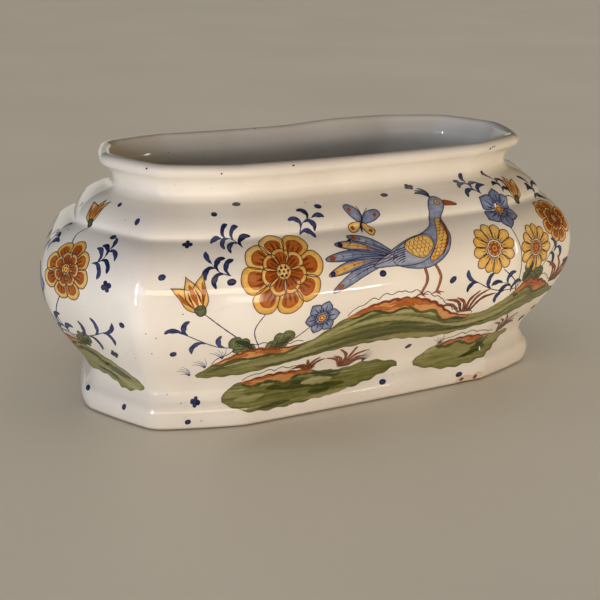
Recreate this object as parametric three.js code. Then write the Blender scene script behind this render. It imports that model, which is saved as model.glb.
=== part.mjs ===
// Jardiniere: a pot-bellied planter with ten panels, in glazed earthenware.
// Millimetres, Z up, X along the length. The origin is on the ground under the middle of the pot.
// The clay pieces are those that a potter presses or cuts and lutes together: the wall in two
// moulded halves, the rolled lip, the foot ring and the floor slab.

import * as THREE from 'three';

// Plan of the foot where it stands, with its corners taken sharp.
const FOOT_HALF_LENGTH = 181.7;
const FOOT_HALF_DEPTH = 80.2;
const LONG_PANEL_HALF_LENGTH = 99;
const END_CORNER_X = 157;
const END_CORNER_Y = 60.5;

// Rounding of the upright corners, and how far the panels swell between them.
const END_POINT_RADIUS = 26;
const END_CORNER_RADIUS = 20;
const LONG_CORNER_RADIUS = 60;
const PANEL_BOW = 0.8;

// Foot: how high it stands, how far it flares, and how far its top draws in from its outline.
const FOOT_HEIGHT = 19;
const FOOT_BULGE_HEIGHT = 11;
const FOOT_BULGE = 2.2;
const FOOT_TOP_INSET = 1.6;
const FOOT_EDGE_ROUNDING = 1;
const FOOT_FLARE_HEIGHT = 3;
const FOOT_FLARE = 0.6;
const FOOT_SHOULDER_DROP = 3;
const FOOT_WALL = 13;
const STANDING_RING_WIDTH = 10;
const STANDING_RING_SLOPE = 1.5;

// Floor: a slab on a ledge inside the foot, over a shallow recess.
const RECESS_DEPTH = 3.5;
const LEDGE_WIDTH = 5;
const LEDGE_THICKNESS = 3.5;
const FLOOR_THICKNESS = 11.5;
const FLOOR_EDGE_ROUNDING = 2;

// Wall, from the foot up: each rise starts where the one before ends, and each swell or inset
// is how far the panels move out or in on the way.
const WALL_THICKNESS = 8;
const WAIST_RISE = 5.5;
const WAIST_INSET = 2.8;
const BELLY_RISE = 71.5;
const BELLY_SWELL = 30.6;
const CREASE_RISE = 34.5;
const CREASE_INSET = 22.2;
const CREASE_DEPTH = 1.4;
const SHOULDER_RISE = 18.1;
const SHOULDER_INSET = 20.4;
const SHOULDER_STEEPNESS = 6;
const NECK_RISE = 6;
const NECK_INSET = 4.8;
const STEM_RISE = 3;
const STEM_FLARE = 0.6;

// How long each curve of the wall keeps the direction it starts or ends in, as a share of the
// curve's own rise or width.
const WAIST_HOLD = 0.17;
const BELLY_HOLD = 0.5;
const CREASE_REACH = 0.56;
const CREASE_DROP = 0.16;
const SHOULDER_REACH = 0.5;
const SHOULDER_DROP = 0.12;
const COVE_HOLD = 0.35;

// Lip: a roll of clay on a short stem that stands on the neck.
const LIP_HEIGHT = 17;
const LIP_OVERHANG = 9;
const LIP_ROLL_RADIUS = 5.3;
const LIP_STEM_RISE = 3.6;
const LIP_FLARE_SETBACK = 1.6;
const LIP_FLARE_DROP = 5.4;
const ROLL_START_DEGREES = -38;
const ROLL_END_DEGREES = 172;
const LIP_INSIDE_HOLLOW = 0.6;

// Slip left between two luted pieces.
const SLIP = 0.3;

// The long sides sink a little in the kiln, most at the rim and at mid-length.
const RIM_SAG = 2.6;
const SAG_HALF_LENGTH = 170;

// Steps that curves are drawn with.
const POINT_STEPS = 4;
const CORNER_STEPS = 4;
const LONG_CORNER_STEPS = 2;
const PANEL_STEPS = 2;
const LONG_PANEL_STEPS = 4;
const LOWER_WALL_STEPS = 10;
const UPPER_WALL_STEPS = 7;
const SHOULDER_STEPS = 6;
const COVE_STEPS = 3;
const INSIDE_LOWER_STEPS = 7;
const INSIDE_UPPER_STEPS = 4;
const INSIDE_SHOULDER_STEPS = 3;
const LIP_STEM_STEPS = 3;
const ROLL_STEPS = 8;
const FOOT_STEPS = 3;

// Stretches of the outer curves that the inner face follows. It passes over the waist's fold and
// the crease, which a presser's thumb doesn't reach.
const INSIDE_LOWER_START = 0.12;
const INSIDE_UPPER_START = 0.25;
const INSIDE_UPPER_END = 0.8;
const INSIDE_SHOULDER_START = 0.45;

// A panel is a straight line of the plan, kept as its outward normal and its distance.
function panelThrough(a, b) {
  const normal = new THREE.Vector2(b.y - a.y, a.x - b.x).normalize();
  if (normal.dot(a) < 0) {
    normal.negate();
  }
  return { normal, distance: normal.dot(a) };
}

function panelCrossing(p, q, offset) {
  const det = p.normal.x * q.normal.y - p.normal.y * q.normal.x;
  const dp = p.distance + offset;
  const dq = q.distance + offset;
  return new THREE.Vector2(
    (dp * q.normal.y - dq * p.normal.y) / det,
    (dq * p.normal.x - dp * q.normal.x) / det,
  );
}

// The corners of a quarter of the plan: end point, end corner and the corner of the long panel.
const endPoint = new THREE.Vector2(FOOT_HALF_LENGTH, 0);
const endCorner = new THREE.Vector2(END_CORNER_X, END_CORNER_Y);
const longCorner = new THREE.Vector2(LONG_PANEL_HALF_LENGTH, FOOT_HALF_DEPTH);
const endPanel = panelThrough(endPoint, endCorner);
const cornerPanel = panelThrough(endCorner, longCorner);
const longPanel = { normal: new THREE.Vector2(0, 1), distance: FOOT_HALF_DEPTH };

function mirrored(panel, sx, sy) {
  return {
    normal: new THREE.Vector2(panel.normal.x * sx, panel.normal.y * sy),
    distance: panel.distance,
  };
}

// All ten panels, counter-clockwise from the one that starts at the right end point.
const panels = [
  endPanel,
  cornerPanel,
  longPanel,
  mirrored(cornerPanel, -1, 1),
  mirrored(endPanel, -1, 1),
  mirrored(endPanel, -1, -1),
  mirrored(cornerPanel, -1, -1),
  mirrored(longPanel, 1, -1),
  mirrored(cornerPanel, 1, -1),
  mirrored(endPanel, 1, -1),
];

// The corner at the start of each panel: its rounding and its steps.
const pointCorner = { radius: END_POINT_RADIUS, steps: POINT_STEPS };
const sideCorner = { radius: END_CORNER_RADIUS, steps: CORNER_STEPS };
const softCorner = { radius: LONG_CORNER_RADIUS, steps: LONG_CORNER_STEPS };
const corners = [
  pointCorner, sideCorner, softCorner, softCorner, sideCorner,
  pointCorner, sideCorner, softCorner, softCorner, sideCorner,
];

// The plan at one offset, as points that start at the right end point and run counter-clockwise.
function planOutline(offset) {
  const count = panels.length;
  const rounded = panels.map((panel, i) => {
    const before = panels[(i + count - 1) % count];
    const at = panelCrossing(before, panel, offset);
    const { radius, steps } = corners[i];
    const half = before.normal.angleTo(panel.normal) / 2;
    const centre = at.clone().sub(
      before.normal.clone().add(panel.normal).normalize().multiplyScalar(radius / Math.cos(half)),
    );
    const from = Math.atan2(before.normal.y, before.normal.x);
    return { centre, radius, steps, from, turn: 2 * half };
  });
  const onCorner = (corner, step) => {
    const angle = corner.from + (corner.turn * step) / corner.steps;
    return new THREE.Vector2(Math.cos(angle), Math.sin(angle))
      .multiplyScalar(corner.radius)
      .add(corner.centre);
  };
  const points = [];
  panels.forEach((panel, i) => {
    const corner = rounded[i];
    const next = rounded[(i + 1) % count];
    const firstStep = i === 0 ? corner.steps / 2 : 0;
    for (let step = firstStep; step <= corner.steps; step += 1) {
      points.push(onCorner(corner, step));
    }
    const start = onCorner(corner, corner.steps);
    const end = onCorner(next, 0);
    const steps = panel.normal.x === 0 ? LONG_PANEL_STEPS : PANEL_STEPS;
    for (let step = 1; step < steps; step += 1) {
      const t = step / steps;
      const bow = PANEL_BOW * 4 * t * (1 - t);
      points.push(start.clone().lerp(end, t).addScaledVector(panel.normal, bow));
    }
  });
  for (let step = 0; step < rounded[0].steps / 2; step += 1) {
    points.push(onCorner(rounded[0], step));
  }
  return points;
}

// A point of a profile is an offset out from the plan of the foot and a height.
function at(offset, height) {
  return new THREE.Vector2(offset, height);
}

function stepFrom(point, outward, upward) {
  return at(point.x + outward, point.y + upward);
}

// Outer profile of the wall, point by point from its seat on the foot to the seat of the lip.
const wallFoot = at(-FOOT_TOP_INSET, FOOT_HEIGHT + SLIP);
const waist = stepFrom(wallFoot, -WAIST_INSET, WAIST_RISE);
const belly = stepFrom(waist, BELLY_SWELL, BELLY_RISE);
const crease = stepFrom(belly, -CREASE_INSET, CREASE_RISE);
const shoulderFoot = stepFrom(crease, -CREASE_DEPTH, CREASE_DEPTH);
const shoulderTop = stepFrom(shoulderFoot, -SHOULDER_INSET, SHOULDER_RISE);
const neck = stepFrom(shoulderTop, -NECK_INSET, NECK_RISE);
const lipSeat = stepFrom(neck, STEM_FLARE, STEM_RISE);
const rimHeight = lipSeat.y + LIP_HEIGHT;

const lowerWall = new THREE.CubicBezierCurve(
  waist,
  stepFrom(waist, 0, WAIST_HOLD * BELLY_RISE),
  stepFrom(belly, 0, -BELLY_HOLD * BELLY_RISE),
  belly,
);
const upperWall = new THREE.CubicBezierCurve(
  belly,
  stepFrom(belly, 0, BELLY_HOLD * CREASE_RISE),
  stepFrom(crease, CREASE_REACH * CREASE_INSET, -CREASE_DROP * CREASE_RISE),
  crease,
);
const shoulderCurve = new THREE.CubicBezierCurve(
  shoulderFoot,
  stepFrom(shoulderFoot, 0, SHOULDER_STEEPNESS),
  stepFrom(shoulderTop, SHOULDER_REACH * SHOULDER_INSET, -SHOULDER_DROP * SHOULDER_RISE),
  shoulderTop,
);
const cove = new THREE.QuadraticBezierCurve(
  shoulderTop,
  stepFrom(shoulderTop, -NECK_INSET, COVE_HOLD * NECK_RISE),
  neck,
);

const wallOutside = [
  wallFoot,
  ...lowerWall.getPoints(LOWER_WALL_STEPS),
  ...upperWall.getPoints(UPPER_WALL_STEPS).slice(1),
  ...shoulderCurve.getPoints(SHOULDER_STEPS),
  ...cove.getPoints(COVE_STEPS).slice(1),
  lipSeat,
];

// Inner face: the outer curves moved in by the wall's thickness, without the crease.
function insideOf(curve, t) {
  const point = curve.getPoint(t);
  const tangent = curve.getTangent(t);
  return at(point.x - tangent.y * WALL_THICKNESS, point.y + tangent.x * WALL_THICKNESS);
}

function insidePoints(curve, from, to, steps) {
  const points = [];
  for (let step = 0; step <= steps; step += 1) {
    points.push(insideOf(curve, from + ((to - from) * step) / steps));
  }
  return points;
}

const wallInside = [
  at(-FOOT_WALL, wallFoot.y),
  ...insidePoints(lowerWall, INSIDE_LOWER_START, 1, INSIDE_LOWER_STEPS),
  ...insidePoints(upperWall, INSIDE_UPPER_START, INSIDE_UPPER_END, INSIDE_UPPER_STEPS),
  ...insidePoints(shoulderCurve, INSIDE_SHOULDER_START, 1, INSIDE_SHOULDER_STEPS),
  stepFrom(lipSeat, -WALL_THICKNESS, 0),
];
const wallSection = [...wallOutside, ...wallInside.reverse()];

// Lip: a short stem that turns out into a roll and comes down again over the inner wall.
const rollCentre = at(neck.x + LIP_OVERHANG - LIP_ROLL_RADIUS, rimHeight - LIP_ROLL_RADIUS);
const stemOutside = stepFrom(lipSeat, 0, SLIP);
const stemInside = stepFrom(lipSeat, -WALL_THICKNESS, SLIP);

function onRoll(degrees) {
  const angle = THREE.MathUtils.degToRad(degrees);
  return stepFrom(rollCentre, LIP_ROLL_RADIUS * Math.cos(angle), LIP_ROLL_RADIUS * Math.sin(angle));
}

const rollTurn = ROLL_END_DEGREES - ROLL_START_DEGREES;
const rollEnd = onRoll(ROLL_END_DEGREES);
const lipStem = new THREE.CubicBezierCurve(
  stemOutside,
  stepFrom(stemOutside, 0, LIP_STEM_RISE),
  stepFrom(rollCentre, LIP_FLARE_SETBACK, -LIP_FLARE_DROP),
  onRoll(ROLL_START_DEGREES),
);
const lipSection = lipStem.getPoints(LIP_STEM_STEPS);
for (let step = 1; step <= ROLL_STEPS; step += 1) {
  lipSection.push(onRoll(ROLL_START_DEGREES + (rollTurn * step) / ROLL_STEPS));
}
lipSection.push(
  rollEnd.clone().add(stemInside).divideScalar(2).sub(at(LIP_INSIDE_HOLLOW, 0)),
  stemInside,
);

// Foot ring: bare standing ring, flared outside, with a ledge inside for the floor.
const ledgeTop = RECESS_DEPTH + LEDGE_THICKNESS;
const ledgeEdge = -FOOT_WALL - LEDGE_WIDTH;
const footTop = at(-FOOT_TOP_INSET, FOOT_HEIGHT);
const footBulge = at(FOOT_BULGE, FOOT_BULGE_HEIGHT);
const footFlare = new THREE.QuadraticBezierCurve(
  at(FOOT_FLARE, FOOT_FLARE_HEIGHT),
  at(FOOT_BULGE, (FOOT_FLARE_HEIGHT + FOOT_BULGE_HEIGHT) / 2),
  footBulge,
);
const footShoulder = new THREE.QuadraticBezierCurve(
  footBulge,
  at(FOOT_BULGE, FOOT_HEIGHT - FOOT_SHOULDER_DROP),
  footTop,
);
const footSection = [
  at(-FOOT_EDGE_ROUNDING, 0),
  at(0, FOOT_EDGE_ROUNDING),
  ...footFlare.getPoints(FOOT_STEPS),
  ...footShoulder.getPoints(FOOT_STEPS).slice(1),
  at(-FOOT_WALL, FOOT_HEIGHT),
  at(-FOOT_WALL, ledgeTop),
  at(ledgeEdge, ledgeTop),
  at(ledgeEdge, RECESS_DEPTH),
  at(-STANDING_RING_WIDTH - STANDING_RING_SLOPE, RECESS_DEPTH),
  at(-STANDING_RING_WIDTH, 0),
];

// Floor slab: rebated round its edge, so that it drops into the ledge and closes the recess.
const floorTop = RECESS_DEPTH + FLOOR_THICKNESS;
const floorEdge = -FOOT_WALL - SLIP;
const floorSection = [
  at(ledgeEdge - SLIP, RECESS_DEPTH),
  at(ledgeEdge - SLIP, ledgeTop + SLIP),
  at(floorEdge, ledgeTop + SLIP),
  at(floorEdge, floorTop - FLOOR_EDGE_ROUNDING),
  at(floorEdge - FLOOR_EDGE_ROUNDING, floorTop),
];

// How far a point has sunk in the kiln: nothing at the foot and at the ends, all of it mid-rim.
function sagAt(x, z) {
  const along = Math.max(0, 1 - (x / SAG_HALF_LENGTH) ** 2);
  return RIM_SAG * (z / rimHeight) ** 2 * along;
}

// Every section point is carried round the plan. The result is rows of 3-D points.
function sweptRows(section) {
  return section.map((point) => planOutline(point.x).map(
    (p) => new THREE.Vector3(p.x, p.y, point.y - sagAt(p.x, point.y)),
  ));
}

class Facets {
  constructor() {
    this.positions = [];
    this.index = [];
  }

  add(point) {
    this.positions.push(point.x, point.y, point.z);
    return this.positions.length / 3 - 1;
  }

  addRows(rows) {
    return rows.map((row) => row.map((point) => this.add(point)));
  }

  // Skins the strip between two rows of points. Seen from outside the clay, with the first row
  // below the second, the points of a row run to the right.
  join(lower, upper, closed) {
    const count = closed ? lower.length : lower.length - 1;
    for (let i = 0; i < count; i += 1) {
      const j = (i + 1) % lower.length;
      this.index.push(lower[i], lower[j], upper[j]);
      this.index.push(lower[i], upper[j], upper[i]);
    }
  }

  geometry() {
    const geometry = new THREE.BufferGeometry();
    geometry.setAttribute('position', new THREE.Float32BufferAttribute(this.positions, 3));
    geometry.setIndex(this.index);
    geometry.computeVertexNormals();
    return geometry;
  }
}

// A closed ring: the section runs up the outside and down the inside.
function ringGeometry(section) {
  const facets = new Facets();
  const rows = facets.addRows(sweptRows(section));
  rows.forEach((row, i) => {
    facets.join(row, rows[(i + 1) % rows.length], true);
  });
  return facets.geometry();
}

// Half of the wall, on the side where y has the given sign, closed at both ends by flat faces.
function halfWallGeometry(section, side) {
  const count = planOutline(0).length;
  const first = side > 0 ? 0 : count / 2;
  const rows = sweptRows(section).map((ring) => {
    const half = [];
    for (let i = 0; i <= count / 2; i += 1) {
      half.push(ring[(first + i) % count].clone());
    }
    half[0].y = (side * SLIP) / 2;
    half[half.length - 1].y = (side * SLIP) / 2;
    return half;
  });
  const facets = new Facets();
  const ids = facets.addRows(rows);
  ids.forEach((row, i) => {
    facets.join(row, ids[(i + 1) % ids.length], false);
  });
  const last = rows[0].length - 1;
  [0, last].forEach((end) => {
    const flat = rows.map((row) => new THREE.Vector2(Math.abs(row[end].x), row[end].z));
    THREE.ShapeUtils.triangulateShape(flat, []).forEach(([a, b, c]) => {
      const turn = new THREE.Vector2().subVectors(flat[b], flat[a])
        .cross(new THREE.Vector2().subVectors(flat[c], flat[a]));
      const face = turn > 0 ? [a, b, c] : [a, c, b];
      const ordered = end === 0 ? face : face.reverse();
      facets.index.push(...ordered.map((i) => ids[i][end]));
    });
  });
  return facets.geometry();
}

// A slab: the section runs from its underside to its top, and both faces are closed to the middle.
function slabGeometry(section) {
  const facets = new Facets();
  const rows = facets.addRows(sweptRows(section));
  for (let i = 1; i < rows.length; i += 1) {
    facets.join(rows[i - 1], rows[i], true);
  }
  const middles = [section[0], section[section.length - 1]].map(
    (point) => facets.add(new THREE.Vector3(0, 0, point.y - sagAt(0, point.y))),
  );
  const lower = rows[0];
  const upper = rows[rows.length - 1];
  lower.forEach((id, i) => {
    const next = (i + 1) % lower.length;
    facets.index.push(id, middles[0], lower[next]);
    facets.index.push(upper[i], upper[next], middles[1]);
  });
  return facets.geometry();
}

// Ivory tin glaze on the pieces that show, and bare red clay on the slab under the floor.
function glaze() {
  return new THREE.MeshStandardMaterial({ color: 0xe6dfd0, roughness: 0.16, metalness: 0 });
}

function bareClay() {
  return new THREE.MeshStandardMaterial({ color: 0xa8694a, roughness: 0.9, metalness: 0 });
}

const jardiniere = new THREE.Group();

function addPiece(name, geometry, material) {
  const piece = new THREE.Mesh(geometry, material);
  piece.name = name;
  jardiniere.add(piece);
}

addPiece('wall_front', halfWallGeometry(wallSection, -1), glaze());
addPiece('wall_back', halfWallGeometry(wallSection, 1), glaze());
addPiece('rim_lip', ringGeometry(lipSection), glaze());
addPiece('foot_ring', ringGeometry(footSection), glaze());
addPiece('floor_slab', slabGeometry(floorSection), bareClay());

export default jardiniere;
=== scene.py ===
"""A ten-panelled earthenware jardiniere, tin-glazed and painted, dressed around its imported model.

Metres, Z up, X along the length. Sizes are written in millimetres and multiplied by MM.
"""

import math
from functools import partial

import bmesh
import bpy
import numpy as np
from mathutils import Matrix, Vector, geometry


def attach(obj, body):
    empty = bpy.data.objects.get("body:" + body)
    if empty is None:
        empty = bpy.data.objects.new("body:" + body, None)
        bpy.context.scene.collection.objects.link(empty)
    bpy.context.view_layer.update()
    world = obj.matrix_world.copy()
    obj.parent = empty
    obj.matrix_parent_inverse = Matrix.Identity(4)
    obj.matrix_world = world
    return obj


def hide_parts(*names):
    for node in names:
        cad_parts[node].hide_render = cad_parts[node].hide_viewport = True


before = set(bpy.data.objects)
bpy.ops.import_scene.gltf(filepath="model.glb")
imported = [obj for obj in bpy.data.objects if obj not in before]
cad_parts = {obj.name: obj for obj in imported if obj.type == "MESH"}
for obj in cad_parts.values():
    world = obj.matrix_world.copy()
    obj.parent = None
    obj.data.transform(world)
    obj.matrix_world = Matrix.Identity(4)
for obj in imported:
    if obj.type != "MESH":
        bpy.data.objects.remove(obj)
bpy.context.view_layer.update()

MM = 0.001

# The camera
# It is held in front of the pot and to its left, a little above the rim, and tipped a degree to one
# side. Its place, turn and lens were fitted to the pot's own corners.
CAMERA_PLACE = Vector((-480.05, -800.89, 341.79)) * MM
CAMERA_YAW = math.radians(30.35)
CAMERA_PITCH = math.radians(17.2)
CAMERA_ROLL = math.radians(1.278)
CAMERA_LENS = 79.06


def add_object(name, data):
    """A new object of that data, put in the scene."""
    item = bpy.data.objects.new(name, data)
    bpy.context.scene.collection.objects.link(item)
    return item


camera_data = bpy.data.cameras.new("camera")
camera_data.lens = CAMERA_LENS
camera_data.sensor_width = 36
camera_data.clip_start = 0.01
camera = add_object("camera", camera_data)
upright = Matrix.Rotation(-CAMERA_YAW, 4, "Z") @ Matrix.Rotation(math.pi / 2 - CAMERA_PITCH, 4, "X")
camera.matrix_world = Matrix.Translation(CAMERA_PLACE) @ upright @ Matrix.Rotation(CAMERA_ROLL, 4, "Z")
bpy.context.scene.camera = camera

# The glazed ware
# The wall in two pressed halves, the rolled lip and the foot: red earthenware, luted together
# with slip and fired, then dipped in white tin glaze, which leaves one unbroken glossy skin.
FOOT_HALF_LENGTH = 181.7 * MM
FOOT_HALF_DEPTH = 80.2 * MM
LONG_PANEL_HALF_LENGTH = 99 * MM
END_CORNER = np.array((157, 60.5)) * MM
END_POINT_RADIUS = 26 * MM
END_CORNER_RADIUS = 20 * MM
LONG_CORNER_RADIUS = 30 * MM
PANEL_BOW = 0.8 * MM

# Points of the outer profile: offset from the plan of the foot, and height.
GLAZE_EDGE = np.array((-0.3, 0.7)) * MM
FOOT_FLARE = np.array((0.6, 3)) * MM
FOOT_BULGE = np.array((2.2, 11)) * MM
FOOT_TOP = np.array((-1.6, 19.3)) * MM
WAIST = np.array((-4.4, 24.8)) * MM
BELLY = np.array((26.2, 96.3)) * MM
CREASE = np.array((4, 130.8)) * MM
SHOULDER_FOOT = np.array((2.6, 132.2)) * MM
SHOULDER_TOP = np.array((-17.8, 150.3)) * MM
NECK = np.array((-22.6, 156.3)) * MM
LIP_SEAT = np.array((-22, 159.3)) * MM
ROLL_CENTRE = np.array((-18.9, 171)) * MM
ROLL_RADIUS = 5.3 * MM
ROLL_START = math.radians(-38)
ROLL_END = math.radians(172)
LIP_STEM_RISE = 3.6 * MM
LIP_FLARE = np.array((1.6, -5.4)) * MM
WALL_THICKNESS = 8 * MM
FLOOR_EDGE = np.array((-31, 15)) * MM
RIM_HEIGHT = 176.3 * MM
RIM_SAG = 2.6 * MM
SAG_HALF_LENGTH = 170 * MM
KINK_LENGTH = 60 * MM

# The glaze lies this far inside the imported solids, so that paint on it stays inside their box.
SKIN_INSET = 0.4 * MM
ROW_STEP = 2.2 * MM
ROW_TURN = 0.13
FINE_STEP = 0.15 * MM
SOFTENING_STEP = 0.2 * MM
LIP_ROW_STEP = 1.1 * MM
INSIDE_ROW_STEP = 3.6 * MM
PANEL_STEP = 3.1 * MM
CORNER_STEP = 1.7 * MM
EDGE_SOFTNESS = 3 * MM
INSIDE_SOFTNESS = 16 * MM
HAND_UNEVENNESS = 0.6 * MM
HAND_UNEVENNESS_SIZE = 70 * MM


def plug(node, links):
    """Links a node's sockets, by name or index, to other nodes, or sets them to values."""
    for name, value in links.items():
        if isinstance(value, bpy.types.Node):
            value = value.outputs[0]
        if isinstance(value, bpy.types.NodeSocket):
            node.id_data.links.new(value, node.inputs[name])
        else:
            node.inputs[name].default_value = value
    return node


def linear(colour):
    """A colour written as sRGB hex, as the linear values that a shader reads."""
    channels = [int(colour[i:i + 2], 16) / 255 for i in (1, 3, 5)]
    return (*(c / 12.92 if c <= 0.04045 else ((c + 0.055) / 1.055) ** 2.4 for c in channels), 1.0)


def add_node(tree, kind, links=None, stops=(), **settings):
    """Adds a node to a tree, sets its properties, the places and hex colours of its stops if it has
    any, and links or sets its sockets."""
    node = tree.nodes.new(kind)
    for name, value in settings.items():
        setattr(node, name, value)
    for i, (place, colour) in enumerate(stops):
        elements = node.color_ramp.elements
        stop = elements[i] if i < 2 else elements.new(place)
        stop.position, stop.color = place, linear(colour)
    return plug(node, links or {})


def new_tree(name, sockets):
    """A geometry tree that takes and gives a mesh and has further named inputs. Returns the function
    that adds nodes to it, what it is given, and its end."""
    tree = bpy.data.node_groups.new(name, "GeometryNodeTree")
    tree.interface.new_socket("Geometry", in_out="INPUT", socket_type="NodeSocketGeometry")
    tree.interface.new_socket("Geometry", in_out="OUTPUT", socket_type="NodeSocketGeometry")
    for label, kind in sockets.items():
        tree.interface.new_socket(label, in_out="INPUT", socket_type="NodeSocket" + kind)
    add = partial(add_node, tree)
    return add, add("NodeGroupInput").outputs, add("NodeGroupOutput")


def finish_tree(add, mesh, result):
    """Ends a tree with a mesh that has no instances left in it."""
    plug(result, {0: add("GeometryNodeRealizeInstances", {"Geometry": mesh})})
    return result.id_data


def grown(name, start, tree, **inputs):
    """Runs a geometry tree on a mesh and returns the result as a plain object without modifiers."""
    carrier = add_object(name + "_start", start)
    modifier = carrier.modifiers.new("grow", "NODES")
    modifier.node_group = tree
    for item in tree.interface.items_tree:
        label = item.name.replace(" ", "_").lower()
        if item.in_out == "INPUT" and label in inputs:
            modifier[item.identifier] = inputs[label]
    depsgraph = bpy.context.evaluated_depsgraph_get()
    mesh = bpy.data.meshes.new_from_object(carrier.evaluated_get(depsgraph), depsgraph=depsgraph)
    bpy.data.objects.remove(carrier)
    mesh.name = name
    return add_object(name, mesh)


def point_mesh(name, points, **values):
    """A mesh of loose points that carry named values, to be read by a geometry tree."""
    mesh = bpy.data.meshes.new(name)
    mesh.from_pydata([tuple(p) for p in points], [], [])
    for label, numbers in values.items():
        numbers = np.asarray(numbers, np.float32)
        kind = "FLOAT_VECTOR" if numbers.ndim == 2 else "FLOAT"
        attribute = mesh.attributes.new(label, kind, "POINT")
        attribute.data.foreach_set("vector" if numbers.ndim == 2 else "value", numbers.ravel())
    return mesh


def bezier(points, count):
    """Points along a Bezier curve of any degree."""
    t = np.linspace(0, 1, count + 1)[:, None]
    degree = len(points) - 1
    return sum(
        math.comb(degree, i) * (1 - t) ** (degree - i) * t**i * np.asarray(p)
        for i, p in enumerate(points)
    )


def evenly_spaced(points, step):
    """The same line with points at even distances of about one step."""
    lengths = np.concatenate(([0], np.cumsum(np.linalg.norm(np.diff(points, axis=0), axis=1))))
    count = max(1, round(lengths[-1] / step))
    wanted = np.linspace(0, lengths[-1], count + 1)
    return np.stack([np.interp(wanted, lengths, column) for column in points.T], axis=1)


def closer_in_bends(points, step, turn):
    """The same line with points a step apart, or closer where it turns faster than that angle."""
    fine = evenly_spaced(points, FINE_STEP)
    along = np.diff(fine, axis=0)
    heading = np.unwrap(np.arctan2(along[:, 1], along[:, 0]))
    window = 9
    pace = np.abs(np.gradient(np.convolve(heading, np.ones(window) / window, "same")))
    pace[:window] = pace[-window:] = 0
    density = np.maximum(np.linalg.norm(along, axis=1) / step, pace / turn)
    wanted = np.concatenate(([0], np.cumsum(density)))
    stations = np.linspace(0, wanted[-1], math.ceil(wanted[-1]) + 1)
    return np.stack([np.interp(stations, wanted, column) for column in fine.T], axis=1)


def softened(points, step, reach):
    """The line with its corners rounded over about that reach, as glaze rounds them."""
    fine = evenly_spaced(points, step)
    half = max(1, round(reach / step / 2))
    padded = np.concatenate([np.repeat(fine[:1], half, axis=0), fine, np.repeat(fine[-1:], half, axis=0)])
    kernel = np.hanning(2 * half + 3)[1:-1]
    kernel /= kernel.sum()
    smooth = np.stack([np.convolve(column, kernel, "valid") for column in padded.T], axis=1)
    smooth[0], smooth[-1] = fine[0], fine[-1]
    return smooth


def moved_in(points, distance):
    """A profile line moved to its left-hand side, which is the inside of the clay."""
    along = np.gradient(points, axis=0)
    along /= np.linalg.norm(along, axis=1)[:, None]
    return points + distance * np.stack([-along[:, 1], along[:, 0]], axis=1)


def facing(angle):
    """The direction of an angle in the plan."""
    return np.array((math.cos(angle), math.sin(angle)))


def plan_columns():
    """Round the plan of the foot, counter-clockwise from the back's middle: each column's point,
    how far it moves per unit of offset, and its distance round the belly from the front's middle."""
    side_turn = math.atan2(FOOT_HALF_DEPTH - END_CORNER[1], END_CORNER[0] - LONG_PANEL_HALF_LENGTH)
    end_turn = math.atan2(FOOT_HALF_LENGTH - END_CORNER[0], END_CORNER[1])
    side_reach = END_CORNER @ (math.sin(side_turn), math.cos(side_turn))
    end_reach = FOOT_HALF_LENGTH * math.cos(end_turn)
    quarter = math.pi / 2
    panels = [(quarter, FOOT_HALF_DEPTH)]
    for start in (quarter, 3 * quarter):
        panels += [
            (start + side_turn, side_reach),
            (start + quarter - end_turn, end_reach),
            (start + quarter + end_turn, end_reach),
            (start + 2 * quarter - side_turn, side_reach),
            (start + 2 * quarter, FOOT_HALF_DEPTH),
        ]
    end_radii = (END_CORNER_RADIUS, END_POINT_RADIUS, END_CORNER_RADIUS)
    radii = [LONG_CORNER_RADIUS, *end_radii, LONG_CORNER_RADIUS] * 2
    corners = []
    for (a, reach_a), (b, reach_b), radius in zip(panels, panels[1:], radii):
        across_a, across_b = -facing(a + quarter), -facing(b + quarter)
        crossing = (reach_a * across_b - reach_b * across_a) / math.sin(b - a)
        spread = facing((a + b) / 2) / math.cos((b - a) / 2)
        turns = np.linspace(a, b, math.ceil(radius * (b - a) / CORNER_STEP) + 1)
        arc = [crossing - spread * radius + radius * facing(turn) for turn in turns]
        corners.append((np.array(arc), spread))
    points, spreads = [], []

    def cross_panel(before, after, angle, shares):
        for t in shares:
            bow = facing(angle) * PANEL_BOW * 4 * t * (1 - t)
            points.append(before[0][-1] * (1 - t) + after[0][0] * t + bow)
            spreads.append(before[1] * (1 - t) + after[1] * t)

    for i, (arc, spread) in enumerate(corners):
        if i == 0:
            steps = round(LONG_PANEL_HALF_LENGTH / PANEL_STEP)
            cross_panel(corners[-1], corners[0], quarter, np.linspace(0.5, 1, steps + 1)[:-1])
        points.extend(arc)
        spreads.extend([spread] * len(arc))
        following = corners[(i + 1) % len(corners)]
        width = np.linalg.norm(following[0][0] - arc[-1] + BELLY[0] * (following[1] - spread))
        last = i == len(corners) - 1
        shares = np.linspace(0, 0.5 if last else 1, round(width * (0.5 if last else 1) / PANEL_STEP) + 1)
        cross_panel((arc, spread), following, panels[i + 1][0], shares[1:] if last else shares[1:-1])
    points, spreads = np.array(points), np.array(spreads)
    around = np.cumsum(np.linalg.norm(np.diff(points + BELLY[0] * spreads, axis=0, prepend=0), axis=1))
    around -= around[0]
    return points, spreads, around - around[-1] / 2


def lower_wall():
    rise = np.array((0, BELLY[1] - WAIST[1]))
    return bezier([WAIST, WAIST + 0.17 * rise, BELLY - 0.5 * rise, BELLY], 60)


def upper_wall():
    inset, rise = BELLY - CREASE
    leave = CREASE + (0.56 * inset, 0.16 * rise)
    return bezier([BELLY, BELLY - (0, 0.5 * rise), leave, CREASE], 50)


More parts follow.
